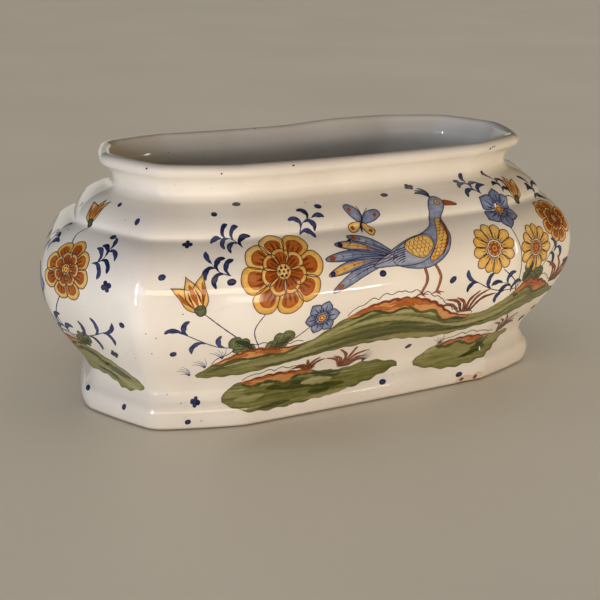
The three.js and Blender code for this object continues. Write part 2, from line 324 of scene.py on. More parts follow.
def shoulder():
    inset, drop = SHOULDER_FOOT - SHOULDER_TOP
    leave = SHOULDER_TOP + (0.5 * inset, 0.12 * drop)
    return bezier([SHOULDER_FOOT, SHOULDER_FOOT + (0, 6 * MM), leave, SHOULDER_TOP], 40)


def foot_and_wall():
    """The outer profile from the edge of the glaze up to the neck."""
    mid_foot = (FOOT_BULGE[0], (FOOT_FLARE[1] + FOOT_BULGE[1]) / 2)
    high_foot = (FOOT_BULGE[0], FOOT_TOP[1] - 3 * MM)
    neck_turn = (NECK[0], SHOULDER_TOP[1] + 0.35 * (NECK[1] - SHOULDER_TOP[1]))
    return np.concatenate((
        [GLAZE_EDGE],
        bezier([FOOT_FLARE, mid_foot, FOOT_BULGE], 8),
        bezier([FOOT_BULGE, high_foot, FOOT_TOP], 8)[1:],
        lower_wall(),
        upper_wall()[1:],
        shoulder(),
        bezier([SHOULDER_TOP, neck_turn, NECK], 8)[1:],
    ))


def lip():
    """From the neck up the stem of the lip and over its roll."""
    start = ROLL_CENTRE + ROLL_RADIUS * facing(ROLL_START)
    stem = bezier([LIP_SEAT, LIP_SEAT + (0, LIP_STEM_RISE), ROLL_CENTRE + LIP_FLARE, start], 16)
    roll = [ROLL_CENTRE + ROLL_RADIUS * facing(turn) for turn in np.linspace(ROLL_START, ROLL_END, 40)]
    return np.concatenate(([NECK], stem, roll[1:]))


def inside():
    """Down the inner face, which passes over the crease, and round onto the floor."""
    low, high, top = (moved_in(line, WALL_THICKNESS) for line in (lower_wall(), upper_wall(), shoulder()))
    stem_foot = LIP_SEAT - (WALL_THICKNESS, 0)
    # Points near the waist, belly, crease and neck are left out, as the softened line spans them.
    wall = np.concatenate((low[8:-4], high[14:40], top[18:-2]))
    floor_turn = np.array(((-12.6, 25), (-15, 19.5), (-20, 16), (-26, 15.1))) * MM
    return np.concatenate(([stem_foot + (0.6 * MM, 6 * MM), stem_foot], wall[::-1], floor_turn, [FLOOR_EDGE]))


def section_points(line, up, drawn_in=0):
    """Points of a section: offset and height, how far drawn to the middle, and the way up."""
    return np.column_stack((line, np.broadcast_to(drawn_in, len(line)), up))


def section_mesh(name, rows):
    """The points of a section as a mesh that a geometry tree can read."""
    offset, height, drawn_in, up = rows.T
    return point_mesh(name, np.zeros((len(rows), 3)), offset=offset, height=height, drawn_in=drawn_in, up=up)


def way_along(line):
    """Distance along a line from its first point."""
    return np.cumsum(np.linalg.norm(np.diff(line, axis=0, prepend=line[:1]), axis=1))


def round_the_plan():
    """A tree that carries the points of a section round the columns of the plan, lets the long
    sides sag as they did in the kiln, and gives the skin the unevenness of hand-pressed clay."""
    add, given, result = new_tree("round_the_plan", {
        "Plan": "Object", "Rim Height": "Float", "Sag": "Float", "Sag Half Length": "Float", "Kink": "Float",
        "Unevenness": "Float", "Unevenness Size": "Float", "Material": "Material",
    })
    plan = add("GeometryNodeObjectInfo", {"Object": given["Plan"]}).outputs["Geometry"]
    section = given["Geometry"]
    columns = add("GeometryNodeAttributeDomainSize", {"Geometry": plan}, component="MESH")
    rows = add("GeometryNodeAttributeDomainSize", {"Geometry": section}, component="MESH")
    grid = add("GeometryNodeMeshGrid", {"Vertices X": columns, "Vertices Y": rows})
    index = add("GeometryNodeInputIndex")
    column = add("FunctionNodeIntegerMath", {0: index, 1: rows}, operation="DIVIDE_FLOOR")
    row = add("FunctionNodeIntegerMath", {0: index, 1: rows}, operation="MODULO")

    def sampled(geometry, name, place, kind="FLOAT"):
        value = add("GeometryNodeInputNamedAttribute", {"Name": name}, data_type=kind)
        links = {"Geometry": geometry, "Value": value.outputs["Attribute"], "Index": place}
        return add("GeometryNodeSampleIndex", links, data_type=kind)

    spread = sampled(plan, "spread", column, "FLOAT_VECTOR")
    base = sampled(plan, "position", column, "FLOAT_VECTOR")
    height = sampled(section, "height", row)
    offset = sampled(section, "offset", row)
    offset = add("ShaderNodeVectorMath", {0: spread, "Scale": offset}, operation="SCALE")
    full = add("ShaderNodeVectorMath", {0: base, 1: offset}, operation="ADD")
    left_out = add("ShaderNodeMath", {0: 1.0, 1: sampled(section, "drawn_in", row)}, operation="SUBTRACT")
    flat = add("ShaderNodeVectorMath", {0: full, "Scale": left_out}, operation="SCALE")
    flat = add("ShaderNodeSeparateXYZ", {0: flat})
    # The sag grows with the square of the height and fades towards the ends.
    share = add("ShaderNodeMath", {0: height, 1: given["Rim Height"]}, operation="DIVIDE")
    share = add("ShaderNodeMath", {0: share, 1: 2.0}, operation="POWER")
    along = add("ShaderNodeMath", {0: flat.outputs["X"], 1: given["Sag Half Length"]}, operation="DIVIDE")
    along = add("ShaderNodeMath", {0: along, 1: along}, operation="MULTIPLY")
    along = add("ShaderNodeMath", {0: 1.0, 1: along}, operation="SUBTRACT", use_clamp=True)
    # On the back the sag stops short at a kink in the rim.
    level = add("ShaderNodeMapRange", {"Value": flat.outputs["X"], "From Max": given["Kink"]},
                interpolation_type="SMOOTHSTEP")
    behind = add("ShaderNodeMapRange", {"Value": flat.outputs["Y"], "From Max": given["Kink"]})
    level = add("ShaderNodeMath", {0: level, 1: behind}, operation="MULTIPLY")
    level = add("ShaderNodeMath", {0: 1.0, 1: level}, operation="SUBTRACT")
    along = add("ShaderNodeMath", {0: along, 1: level}, operation="MULTIPLY")
    sag = add("ShaderNodeMath", {0: share, 1: along}, operation="MULTIPLY")
    sag = add("ShaderNodeMath", {0: sag, 1: given["Sag"]}, operation="MULTIPLY")
    sunk = add("ShaderNodeMath", {0: height, 1: sag}, operation="SUBTRACT")
    place = add("ShaderNodeCombineXYZ", {0: flat.outputs["X"], 1: flat.outputs["Y"], 2: sunk})
    canvas = add("ShaderNodeCombineXYZ", {0: sampled(plan, "around", column), 1: sampled(section, "up", row)})
    marked = {"Geometry": grid, "Name": "canvas_point", "Value": canvas}
    marked = add("GeometryNodeStoreNamedAttribute", marked, data_type="FLOAT_VECTOR")
    point = add("GeometryNodeInputNamedAttribute", {"Name": "canvas_point"}, data_type="FLOAT_VECTOR")
    marked = add("GeometryNodeStoreNamedAttribute", {"Geometry": marked, "Name": "canvas", "Value": point},
                 data_type="FLOAT2", domain="CORNER")
    shaped = add("GeometryNodeSetPosition", {"Geometry": marked, "Position": place})
    shaped = add("GeometryNodeMergeByDistance", {"Geometry": shaped, "Distance": 0.01 * MM})
    grain = add("ShaderNodeMath", {0: 1.0, 1: given["Unevenness Size"]}, operation="DIVIDE")
    lumps = add("ShaderNodeTexNoise", {"Scale": grain, "Detail": 1.5})
    dent = add("ShaderNodeMath", {0: lumps, 1: given["Unevenness"]}, operation="MULTIPLY")
    dent = add("ShaderNodeMath", {0: dent, 1: -1.0}, operation="MULTIPLY")
    normal = add("GeometryNodeInputNormal")
    dent = add("ShaderNodeVectorMath", {0: normal, "Scale": dent}, operation="SCALE")
    shaped = add("GeometryNodeSetPosition", {"Geometry": shaped, "Offset": dent})
    shaped = add("GeometryNodeSetShadeSmooth", {"Geometry": shaped})
    shaped = add("GeometryNodeSetMaterial", {"Geometry": shaped, "Material": given["Material"]})
    return finish_tree(add, shaped, result)


def new_material(name):
    """A material, the function that adds nodes to it, its shader and its object coordinates."""
    material = bpy.data.materials.new(name)
    material.use_nodes = True
    add = partial(add_node, material.node_tree)
    place = add("ShaderNodeTexCoord").outputs["Object"]
    return material, add, material.node_tree.nodes["Principled BSDF"], place


# Tin glaze: opaque, milky and very glossy. It gives the eye a warm ivory that is never quite even,
# a few long soft waves in the reflections, and pinholes and specks of iron.
GLAZE_WAVE = 26 * MM
GLAZE_RIPPLE = 5 * MM
GLAZE_CLOUD = 55 * MM


def finish_glossy(add, shader, place):
    """The gloss that glaze and paint share, with its waves and its fine ripple."""
    cloud = add("ShaderNodeTexNoise", {"Vector": place, "Scale": 1 / GLAZE_CLOUD, "Detail": 3.0})
    shine = add("ShaderNodeMapRange", {"Value": cloud, "To Min": 0.03, "To Max": 0.08})
    wave = add("ShaderNodeTexNoise", {"Vector": place, "Scale": 1 / GLAZE_WAVE, "Detail": 1.0})
    ripple = add("ShaderNodeTexNoise", {"Vector": place, "Scale": 1 / GLAZE_RIPPLE, "Detail": 2.0})
    bump = add("ShaderNodeBump", {"Height": wave, "Distance": 0.12 * MM})
    bump = add("ShaderNodeBump", {"Height": ripple, "Distance": 0.006 * MM, "Normal": bump})
    plug(shader, {"Roughness": shine, "IOR": 1.52, "Normal": bump})


def tin_glaze():
    material, add, shader, place = new_material("tin_glaze")
    cloud = add("ShaderNodeTexNoise", {"Vector": place, "Scale": 1 / GLAZE_CLOUD, "Detail": 3.0})
    tone = add("ShaderNodeValToRGB", {0: cloud}, stops=((0.3, "#E3DCCD"), (0.7, "#EFEADE")))
    plug(shader, {"Base Color": tone})
    finish_glossy(add, shader, place)
    return material


points, spreads, around = plan_columns()
plan_mesh = point_mesh("plan_columns", np.column_stack((points, np.zeros(len(points)))),
                       spread=np.column_stack((spreads, np.zeros(len(points)))), around=around)
plan = add_object("plan_columns", plan_mesh)

outer = closer_in_bends(softened(foot_and_wall(), SOFTENING_STEP, EDGE_SOFTNESS), ROW_STEP, ROW_TURN)
rolled = evenly_spaced(softened(lip(), SOFTENING_STEP, EDGE_SOFTNESS / 2), LIP_ROW_STEP)
inner = evenly_spaced(softened(inside(), SOFTENING_STEP, INSIDE_SOFTNESS), INSIDE_ROW_STEP)
skin = moved_in(np.concatenate((outer, rolled[1:], inner)), SKIN_INSET)
skin_up = way_along(skin)
# What is closed off inside the clay and under the floor lies beyond the painted part of the canvas.
hidden = np.array(((-9, 5), (-9, 5), (-7, 1.9))) * MM
middle = np.linspace(0, 1, 14)[1:]
section = np.concatenate((
    section_points(hidden, (-60 * MM, -12 * MM, -8 * MM), (1, 0, 0)),
    section_points(skin, skin_up),
    section_points(np.tile(skin[-1], (len(middle), 1)), skin_up[-1] + 60 * MM * middle, middle),
))
ware_section = section_mesh("ware_section", section)
sweep = round_the_plan()
kiln = {
    "plan": plan, "rim_height": RIM_HEIGHT, "sag": RIM_SAG, "sag_half_length": SAG_HALF_LENGTH,
    "kink": KINK_LENGTH,
}
ware = grown("glazed_ware", ware_section, sweep, **kiln, unevenness=HAND_UNEVENNESS,
             unevenness_size=HAND_UNEVENNESS_SIZE, material=tin_glaze())
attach(ware, "root")
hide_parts("wall_front", "wall_back", "rim_lip", "foot_ring")

# The bare foot
# The ring that the pot stands on and the recess under its floor: the same red earthenware, wiped
# clean of glaze before the firing so that the pot doesn't stick in the kiln.
STANDING_RING = np.array((
    (-11.5, 3.5), (-10.2, 0.5), (-9.5, 0), (-4, 0), (-3.2, 0.3), (-2.8, 0.9), (-3.4, 2.4),
)) * MM
CLAY_GRAIN = 0.9 * MM
CLAY_CLOUD = 22 * MM
PAINTED_SHADE_HEIGHT = 1.4 * MM


def bare_earthenware():
    """Red earthenware, fired and unglazed: matt, grainy, uneven in its red, and darker at its lowest edge,
    which is painted shade where the ring meets the floor.
    """
    material, add, shader, place = new_material("bare_earthenware")
    cloud = add("ShaderNodeTexNoise", {"Vector": place, "Scale": 1 / CLAY_CLOUD, "Detail": 4.0})
    tone = add("ShaderNodeValToRGB", {0: cloud}, stops=((0.3, "#8A5236"), (0.7, "#B5805C")))
    height = add("ShaderNodeSeparateXYZ", {0: place}).outputs["Z"]
    # The lowest millimetre or two of the clay is darkened towards near black: painted shade where the ring
    # meets the floor.
    unshaded = add("ShaderNodeMapRange", {"Value": height, "From Min": PAINTED_SHADE_HEIGHT, "From Max": 2 * PAINTED_SHADE_HEIGHT})
    painted_shade_tone = add("ShaderNodeMix", {"Factor": unshaded, "A": linear("#2E2823"), "B": tone}, data_type="RGBA")
    grain = add("ShaderNodeTexNoise", {"Vector": place, "Scale": 1 / CLAY_GRAIN, "Detail": 3.0})
    bump = add("ShaderNodeBump", {"Height": grain, "Distance": 0.12 * MM})
    plug(shader, {"Base Color": painted_shade_tone.outputs["Result"], "Roughness": 0.92, "IOR": 1.5, "Normal": bump})
    return material


recess = np.array(((-31, 3.5), (-31, 3.5), (-20, 3.5))) * MM
buried = np.array(((-10, 6), (-31, 6), (-31, 6))) * MM
foot_line = evenly_spaced(softened(STANDING_RING, 0.1 * MM, 0.6 * MM), 0.7 * MM)
foot_rows = np.concatenate((
    section_points(recess, (0, 50 * MM, 60 * MM), (1, 0, 0)),
    section_points(foot_line, 65 * MM + way_along(foot_line)),
    section_points(buried, (100 * MM, 120 * MM, 180 * MM), (0, 0, 1)),
))
foot_section = section_mesh("foot_section", foot_rows)
bare_foot = grown("bare_foot", foot_section, sweep, **kiln, unevenness=0.0,
                  unevenness_size=HAND_UNEVENNESS_SIZE, material=bare_earthenware())
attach(bare_foot, "root")
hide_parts("floor_slab")

# The painting
# Metal oxides in water, brushed on the raw white glaze before the second firing, which melts each
# touch into a skin as glossy as the glaze: flowers on stems, grassy banks, a bird and strewn dots.

# Places on the canvas are millimetres round the belly from the front's middle, and up the wall.
HALF_ROUND = around[-1]
PAINT_LIFT = 0.06 * MM
LAYER_LIFT = 0.024 * MM
PAINT_DEPTH = 0.25 * MM
LAYER_SPREAD = 0.6
GOLDEN_RATIO = 0.618
TOUCH_STEP = 1.0
WIDE_TOUCH = 1.5
WIDE_TOUCH_STEP = 0.6
LEAST_HALF_WIDTH = 0.15
TREMBLE = 0.1
TREMBLE_RATE = 0.9
OUTLINE_STEP = 0.8
DAB_STEP = 0.6
WASH_MARGIN = 0.6
POOL_WIDTH = 1.5
STREAK_LENGTH = 26 * MM
STREAK_WIDTH = 1.7 * MM
PAINT_CLOUD = 4 * MM
DAISY_PETALS = 12

hand = np.random.default_rng(7)
pots = {}


def found_on_the_ware(add, ware, spot):
    """Where a point of the canvas lies on the ware, and which way the ware faces there."""
    ware_mesh = add("GeometryNodeObjectInfo", {"Object": ware}).outputs["Geometry"]
    canvas = add("GeometryNodeInputNamedAttribute", {"Name": "canvas"}, data_type="FLOAT_VECTOR")
    asked = {"Mesh": ware_mesh, "UV Map": canvas, "Sample UV": spot}
    return [
        add("GeometryNodeSampleUVSurface", {**asked, "Value": add(kind)}, data_type="FLOAT_VECTOR")
        for kind in ("GeometryNodeInputPosition", "GeometryNodeInputNormal")
    ]


def laid_on_the_ware():
    """A tree that turns brush lines into flat ribbons, gives ribbons and washes the thickness of
    paint, and lays them on the ware by its canvas map, with the ware's own normals."""
    add, given, result = new_tree("laid_on_the_ware", {
        "Ware": "Object", "Half Round": "Float", "Bristles": "Int", "Depth": "Float", "Material": "Material",
    })
    sheet = given["Geometry"]
    neighbours = add("GeometryNodeInputMeshEdgeNeighbors")
    is_line = add("FunctionNodeCompare", {"A": neighbours, "B": 0}, data_type="INT", operation="EQUAL")
    lines = add("GeometryNodeMeshToCurve", {"Mesh": sheet, "Selection": is_line})
    lines = add("GeometryNodeSetCurveNormal", {"Curve": lines}, mode="Z_UP")
    bristles = add("GeometryNodeCurvePrimitiveLine", {"Start": (-1, 0, 0), "End": (1, 0, 0)})
    bristles = add("GeometryNodeResampleCurve", {"Curve": bristles, "Count": given["Bristles"]})
    across = add("GeometryNodeInputPosition")
    across = add("ShaderNodeVectorMath", {0: across}, operation="LENGTH")
    bristles = add("GeometryNodeStoreNamedAttribute",
                   {"Geometry": bristles, "Name": "across", "Value": across.outputs["Value"]})
    width = add("GeometryNodeInputNamedAttribute", {"Name": "half_width"})
    ribbons = add("GeometryNodeCurveToMesh", {"Curve": lines, "Profile Curve": bristles, "Scale": width})
    across = add("GeometryNodeInputNamedAttribute", {"Name": "across"})
    pool = add("ShaderNodeMath", {0: across, 1: 3.0}, operation="POWER")
    ribbons = add("GeometryNodeStoreNamedAttribute", {"Geometry": ribbons, "Name": "pool", "Value": pool})
    washes = add("GeometryNodeDeleteGeometry", {"Geometry": sheet, "Selection": is_line}, domain="EDGE")
    flat = add("GeometryNodeJoinGeometry", {"Geometry": ribbons})
    plug(flat, {0: washes})
    down = add("GeometryNodeFlipFaces", {"Mesh": flat})
    down = add("GeometryNodeExtrudeMesh", {
        "Mesh": down, "Offset": (0, 0, -1), "Offset Scale": given["Depth"], "Individual": False,
    })
    slab = add("GeometryNodeJoinGeometry", {"Geometry": down})
    plug(slab, {0: flat})
    slab = add("GeometryNodeMergeByDistance", {"Geometry": slab, "Distance": 0.0001 * MM})
    place = add("ShaderNodeSeparateXYZ", {0: add("GeometryNodeInputPosition")})
    back = add("ShaderNodeMath", {0: given["Half Round"], 1: -1.0}, operation="MULTIPLY")
    wrapped = add("ShaderNodeMath",
                  {0: place.outputs["X"], 1: given["Half Round"], 2: back}, operation="WRAP")
    spot = add("ShaderNodeCombineXYZ", {0: wrapped, 1: place.outputs["Y"]})
    slab = add("GeometryNodeStoreNamedAttribute", {"Geometry": slab, "Name": "spot", "Value": spot},
               data_type="FLOAT_VECTOR")
    height = add("GeometryNodeStoreNamedAttribute",
                 {"Geometry": slab, "Name": "lift", "Value": place.outputs["Z"]})
    spot = add("GeometryNodeInputNamedAttribute", {"Name": "spot"}, data_type="FLOAT_VECTOR")
    lift = add("GeometryNodeInputNamedAttribute", {"Name": "lift"})
    foot, normal = found_on_the_ware(add, given["Ware"], spot)
    rise = add("ShaderNodeVectorMath", {0: normal, "Scale": lift}, operation="SCALE")
    place = add("ShaderNodeVectorMath", {0: foot, 1: rise}, operation="ADD")
    kept = add("GeometryNodeStoreNamedAttribute", {"Geometry": height, "Name": "out", "Value": normal},
               data_type="FLOAT_VECTOR")
    draped = add("GeometryNodeSetPosition", {"Geometry": kept, "Position": place})
    draped = add("GeometryNodeStoreNamedAttribute", {"Geometry": draped, "Name": "canvas", "Value": spot},
                 data_type="FLOAT2", domain="CORNER")
    draped = add("GeometryNodeSetShadeSmooth", {"Geometry": draped})
    out = add("GeometryNodeInputNamedAttribute", {"Name": "out"}, data_type="FLOAT_VECTOR")
    draped = add("GeometryNodeSetMeshNormal", {"Mesh": draped, "Custom Normal": out},
                 mode="FREE", domain="POINT")
    draped = add("GeometryNodeSetMaterial", {"Geometry": draped, "Material": given["Material"]})
    return finish_tree(add, draped, result)


def flowing(points, closed=False, step=TOUCH_STEP):
    """A smooth line through a few points, as a wrist draws it."""
    points = np.asarray(points, float)
    before, after = points[-1:], points[:2]
    if not closed:
        before, after = 2 * points[:1] - points[1:2], 2 * points[-1:] - points[-2:-1]
    padded = np.concatenate((before, points, after))
    t = np.linspace(0, 1, 13)[:-1, None]
    stretches = []
    for a, b, c, d in zip(padded, padded[1:], padded[2:], padded[3:]):
        bend, twist = 2 * a - 5 * b + 4 * c - d, 3 * b - a - 3 * c + d
        stretches.append(0.5 * (2 * b + (c - a) * t + bend * t**2 + twist * t**3))
    line = np.concatenate((*stretches, points[:1] if closed else points[-1:]))
    return evenly_spaced(line, step)


def rounded(points, step=OUTLINE_STEP):
    """A smooth closed line through a few points."""
    return flowing(points, closed=True, step=step)


def pot(paint):
    """What has been painted with one paint so far."""
    parts = ("points", "edges", "faces", "half_width", "pool", "load")
    return pots.setdefault(paint, {part: [] for part in parts})


def next_lift(colours, layer):
    """Each layer lies above the last, and touches in one layer lie a hair above or below each other,
    so that no two of them share a plane."""
    hair = LAYER_SPREAD * (len(colours["points"]) * GOLDEN_RATIO % 1)
    return (PAINT_LIFT + LAYER_LIFT * (layer + hair)) / MM


def touch(paint, points, width, shape="line", layer=1, closed=False):
    """One touch of the brush: a line that swells and thins as its shape says, with round ends."""
    colours = pot(paint)
    line = flowing(points, closed, TOUCH_STEP if width < WIDE_TOUCH else WIDE_TOUCH_STEP)
    line = line[:-1] if closed else line
    way = way_along(line)
    t = way / way[-1]
    swell = {
        "line": 0.85 + 0.15 * np.sin(np.pi * t),
        "comma": 0.16 + 0.84 * np.sin(np.pi * t**1.35) ** 0.8,
        "leaf": 0.1 + 0.9 * np.sin(np.pi * t) ** 0.8,
        "blade": 1 - 0.88 * t**1.3,
        "full": 1 + 0 * t,
    }[shape]
    half = width / 2 * swell * (1 + TREMBLE * np.sin(way * TREMBLE_RATE + 9 * hand.random()))
    if not closed:
        reach = width / 2
        for end in (way, way[-1] - way):
            rounding = np.sqrt(np.clip(reach**2 - (reach - end).clip(0) ** 2, 0, None))
            half = np.minimum(half, LEAST_HALF_WIDTH + rounding)
    first = len(colours["points"])
    lift = next_lift(colours, layer)
    colours["points"] += [(x, y, lift) for x, y in line]
    colours["edges"] += [(first + i, first + i + 1) for i in range(len(line) - 1)]
    colours["edges"] += [(first + len(line) - 1, first)] if closed else []
    colours["half_width"] += list(half * MM)
    colours["pool"] += [0.0] * len(line)
    colours["load"] += [hand.random()] * len(line)


def wash(paint, outline, layer=0):
    """A filled patch of paint inside a closed line. Its mesh follows the rows and columns of the
    ware, so that it bends where the ware does. Paint pools along its edge."""
    colours = pot(paint)
    outline = np.asarray(outline)[:-1] if np.allclose(outline[0], outline[-1]) else np.asarray(outline)
    low, high = outline.min(0), outline.max(0)
    columns = [x for x in around / MM if low[0] < x < high[0]]
    rows = [y for y in skin_up / MM if low[1] < y < high[1]]
    inner = [(x, y) for y in rows for x in columns]
    inner = [p for p in inner if np.min(np.linalg.norm(outline - p, axis=1)) > WASH_MARGIN]
    sheet = [Vector(p) for p in (*outline, *inner)]
    rim = [(i, (i + 1) % len(outline)) for i in range(len(outline))]
    spots, _, faces, *_ = geometry.delaunay_2d_cdt(sheet, rim, [], 1, 1e-5)
    first = len(colours["points"])
    lift = next_lift(colours, layer)
    spots = np.array([tuple(p) for p in spots])
    away = np.min(np.linalg.norm(spots[:, None] - outline[None], axis=2), axis=1)
    colours["points"] += [(x, y, lift) for x, y in spots]
    colours["faces"] += [tuple(first + i for i in face) for face in faces]
    colours["half_width"] += [0.0] * len(spots)
    colours["pool"] += list(np.clip(1 - away / POOL_WIDTH, 0, 1))
    colours["load"] += [hand.random()] * len(spots)


def outlined(paint, outline, layer, over, line=0.55, pen="outline"):
    """A wash, and a fine line drawn round it on a later layer."""
    wash(paint, outline, layer)
    touch(pen, outline, line, layer=over, closed=True)


def placed(points, at, size=1.0, turn=0.0):
    """Points of a motif, sized, turned and put in its place. Turns are in degrees."""
    c, s = math.cos(math.radians(turn)), math.sin(math.radians(turn))
    return np.asarray(points, float) * size @ np.array(((c, s), (-s, c))) + at


def off(at, distance, angle):
    """A point at some distance and angle, in degrees, from another."""
    return np.array(at) + distance * facing(math.radians(angle))


def ring(at, radius, count=12):
    turns = np.linspace(0, 2 * np.pi, count + 1)[:-1]
    return rounded([np.array(at) + radius * facing(turn) for turn in turns])


def petal(at, angle, start, reach, width, pointed=False):
    """Outline of one petal that lies along a ray from the flower's heart."""
    stations = [(0, 0.22), (0.3, 0.72), (0.62, 1), (0.86, 0.66 if pointed else 0.78)]
    side = [(start + (reach - start) * t, width / 2 * w) for t, w in stations]
    tip = [(start + (reach - start) * t, 0) for t in ((1.1, 1.1) if pointed else (1,))]
    return rounded(placed(side + tip + [(x, -y) for x, y in side[::-1]], at, 1, angle))


def round_brush_path(path, width):
    """Outline of a long leaf or feather round its middle line."""
    line = flowing(path, step=1.5)
    along = np.gradient(line, axis=0)
    across = np.column_stack((-along[:, 1], along[:, 0])) / np.linalg.norm(along, axis=1)[:, None]
    t = np.linspace(0, 1, len(line))
    half = (width / 2 * (0.18 + 0.82 * np.sin(np.pi * t**1.6) ** 0.7))[:, None]
    return np.concatenate((line + across * half, (line - across * half)[::-1]))


def daisy(at, radius, turn=0):
    width = radius * 5.1 / DAISY_PETALS
    for k in range(DAISY_PETALS):
        angle = turn + 360 * k / DAISY_PETALS + hand.uniform(-2, 2)
        outline = petal(at, angle, radius * 0.36, radius * hand.uniform(0.95, 1.04), width)
        outlined("yellow", outline, 3, 6)
        for share in (-0.26, 0, 0.26):
            ray = [(radius * 0.4, share * width), (radius * hand.uniform(0.62, 0.76), share * width * 1.25)]
            touch("outline", placed(ray, at, 1, angle), 0.6, "blade", layer=6)
    wash("yellow", ring(at, radius * 0.3), layer=3)
    for k in range(9):
        wash("ochre", ring(off(at, radius * 0.17 * (k > 0), 45 * k), radius * 0.08, 6), layer=5)
    for rim in (0.27, 0.35):
        touch("outline", ring(at, radius * rim), 0.5, layer=6, closed=True)


def blue_flower(at, radius, turn=0):
    """Six pointed petals in thin cobalt, fanned with darker strokes, round a yellow heart."""
    for k in range(6):
        angle = turn + 60 * k + hand.uniform(-3, 3)
        reach = radius * hand.uniform(0.9, 1.0)
        outline = petal(at, angle, radius * 0.26, reach, radius * 0.74, pointed=True)
        outlined("slate", outline, 3, 6, 0.6, "cobalt")
        for share, width in ((-0.2, 1.3), (0, 2.2), (0.2, 1.3)):
            ray = [(radius * 0.34, share * radius * 0.5), (radius * (0.82 - abs(share)), share * radius)]
            touch("cobalt" if share else "slate_deep", placed(ray, at, 1, angle), width, "blade", layer=5)
    wash("yellow", ring(at, radius * 0.22), layer=4)
    touch("ochre", ring(at, radius * 0.12, 8), 1.1, layer=5, closed=True)
    touch("outline", ring(at, radius * 0.24), 0.5, layer=6, closed=True)


def peony(at, radius, turn=0):
    """A great double flower: ochre petals edged in yellow round a ring of smaller ones."""
    for count, start, reach, size, layer in ((8, 0.4, 1.0, 0.62, 2), (7, 0.14, 0.56, 0.42, 5)):
        for k in range(count):
            angle = turn + 360 * (k + 0.5 * (count == 7)) / count + hand.uniform(-4, 4)
            far = radius * reach * hand.uniform(0.94, 1.06)
            outline = petal(at, angle, radius * start * 0.8, far, radius * size)
            outlined("yellow", outline, layer, layer + 3)
            wash("ochre", petal(at, angle, radius * start, far * 0.86, radius * size * 0.66), layer + 1)
            for share in (-0.2, 0.02, 0.22):
                side = share * radius * size
                ray = [(radius * start * 1.1, 0.7 * side), (far * hand.uniform(0.66, 0.8), side)]
                touch("ochre_deep", placed(ray, at, 1, angle), 0.055 * radius, "leaf", layer=layer + 2)
    wash("yellow", ring(at, radius * 0.17), layer=8)
    for k in range(7):
        wash("cobalt", ring(off(at, radius * 0.1 * (k > 0), 60 * k), radius * 0.033, 6), layer=9)
    touch("outline", ring(at, radius * 0.18), 0.5, layer=9, closed=True)


def tulip(at, size, turn=0):
    """Three flamed petals on a cup, drawn upright and turned."""
    def here(points):
        return placed(points, at, size, turn)

    petals = (
        [(-1, 0), (-7, 4), (-8.5, 12), (-10.5, 20), (-10.5, 20), (-4.5, 17), (0, 12)],
        [(1, 0), (7, 4), (8.5, 12), (10.5, 20), (10.5, 20), (4.5, 17), (0, 12)],
        [(0, 0.5), (-4.6, 6), (-4.4, 14), (0, 22.5), (0, 22.5), (4.4, 14), (4.6, 6)],
    )
    for k, outline in enumerate(petals):
        outlined("yellow", rounded(here(outline)), 2 + k, 6 if k < 2 else 8)
    for path in ([(-2.5, 3), (-6, 9), (-8, 16)], [(2.5, 3), (6, 9), (8, 16)]):
        touch("ochre", here(path), 2.4 * size, "leaf", layer=5)
    for path, width in (([(0, 3), (0, 10), (0, 18)], 3.2), ([(-2.4, 4), (-2.8, 9), (-2.2, 14)], 1.2),
                        ([(2.4, 4), (2.8, 9), (2.2, 14)], 1.2)):
        touch("ochre_deep" if width < 2 else "ochre", here(path), width * size, "leaf", layer=7)
    cup = here([(-3.4, 2), (0, 3.4), (3.4, 2), (2.6, -2.4), (0, -3.6), (-2.6, -2.4)])
    outlined("green", rounded(cup), 8, 9, 0.5)


def leaf_comma(at, angle, length, curl, width=3.6):
    """A comma leaf: fine at its stem, full past its middle, and curled over at its tip."""
    path = [at, off(at, length * 0.4, angle - curl * 0.1), off(at, length * 0.78, angle + curl * 0.5),
            off(at, length, angle + curl)]
    touch("cobalt", path, width, "comma", layer=2)


def sprig(path, leaves, length, first_side=1):
    """A stem with comma leaves on alternate sides and one at its tip."""
    line = flowing(path)
    touch("cobalt", path, 0.75)
    side = first_side
    for t in np.linspace(0.3, 0.94, leaves):
        i = int(t * (len(line) - 1))
        ahead = line[min(i + 2, len(line) - 1)] - line[max(i - 2, 0)]
        angle = math.degrees(math.atan2(ahead[1], ahead[0]))
        leaf_comma(line[i], angle + side * 28, length * hand.uniform(0.85, 1.1), side * 40)
        side = -side
    ahead = line[-1] - line[-4]
    leaf_comma(line[-1], math.degrees(math.atan2(ahead[1], ahead[0])), length, side * 25)


def plume(at, angle, leaves, length, bend=24):
    """A short curved stem with full, curled leaves on both sides and one at its tip."""
    path = [at, off(at, length * 0.5, angle), off(at, length, angle + bend)]
    line = flowing(path)
    touch("cobalt", path, 0.9, "blade")
    for k in range(leaves - 1):
        side = 1 if k % 2 else -1
        share = (k + 0.4) / leaves
        start = line[int(share * len(line))]
        leaf_comma(start, angle + bend * share * 1.6 + side * 40, 11.5 - 2 * share, side * 48, 3.7)
    leaf_comma(line[int(0.86 * len(line))], angle + bend * 1.9, 10, bend, 3.7)


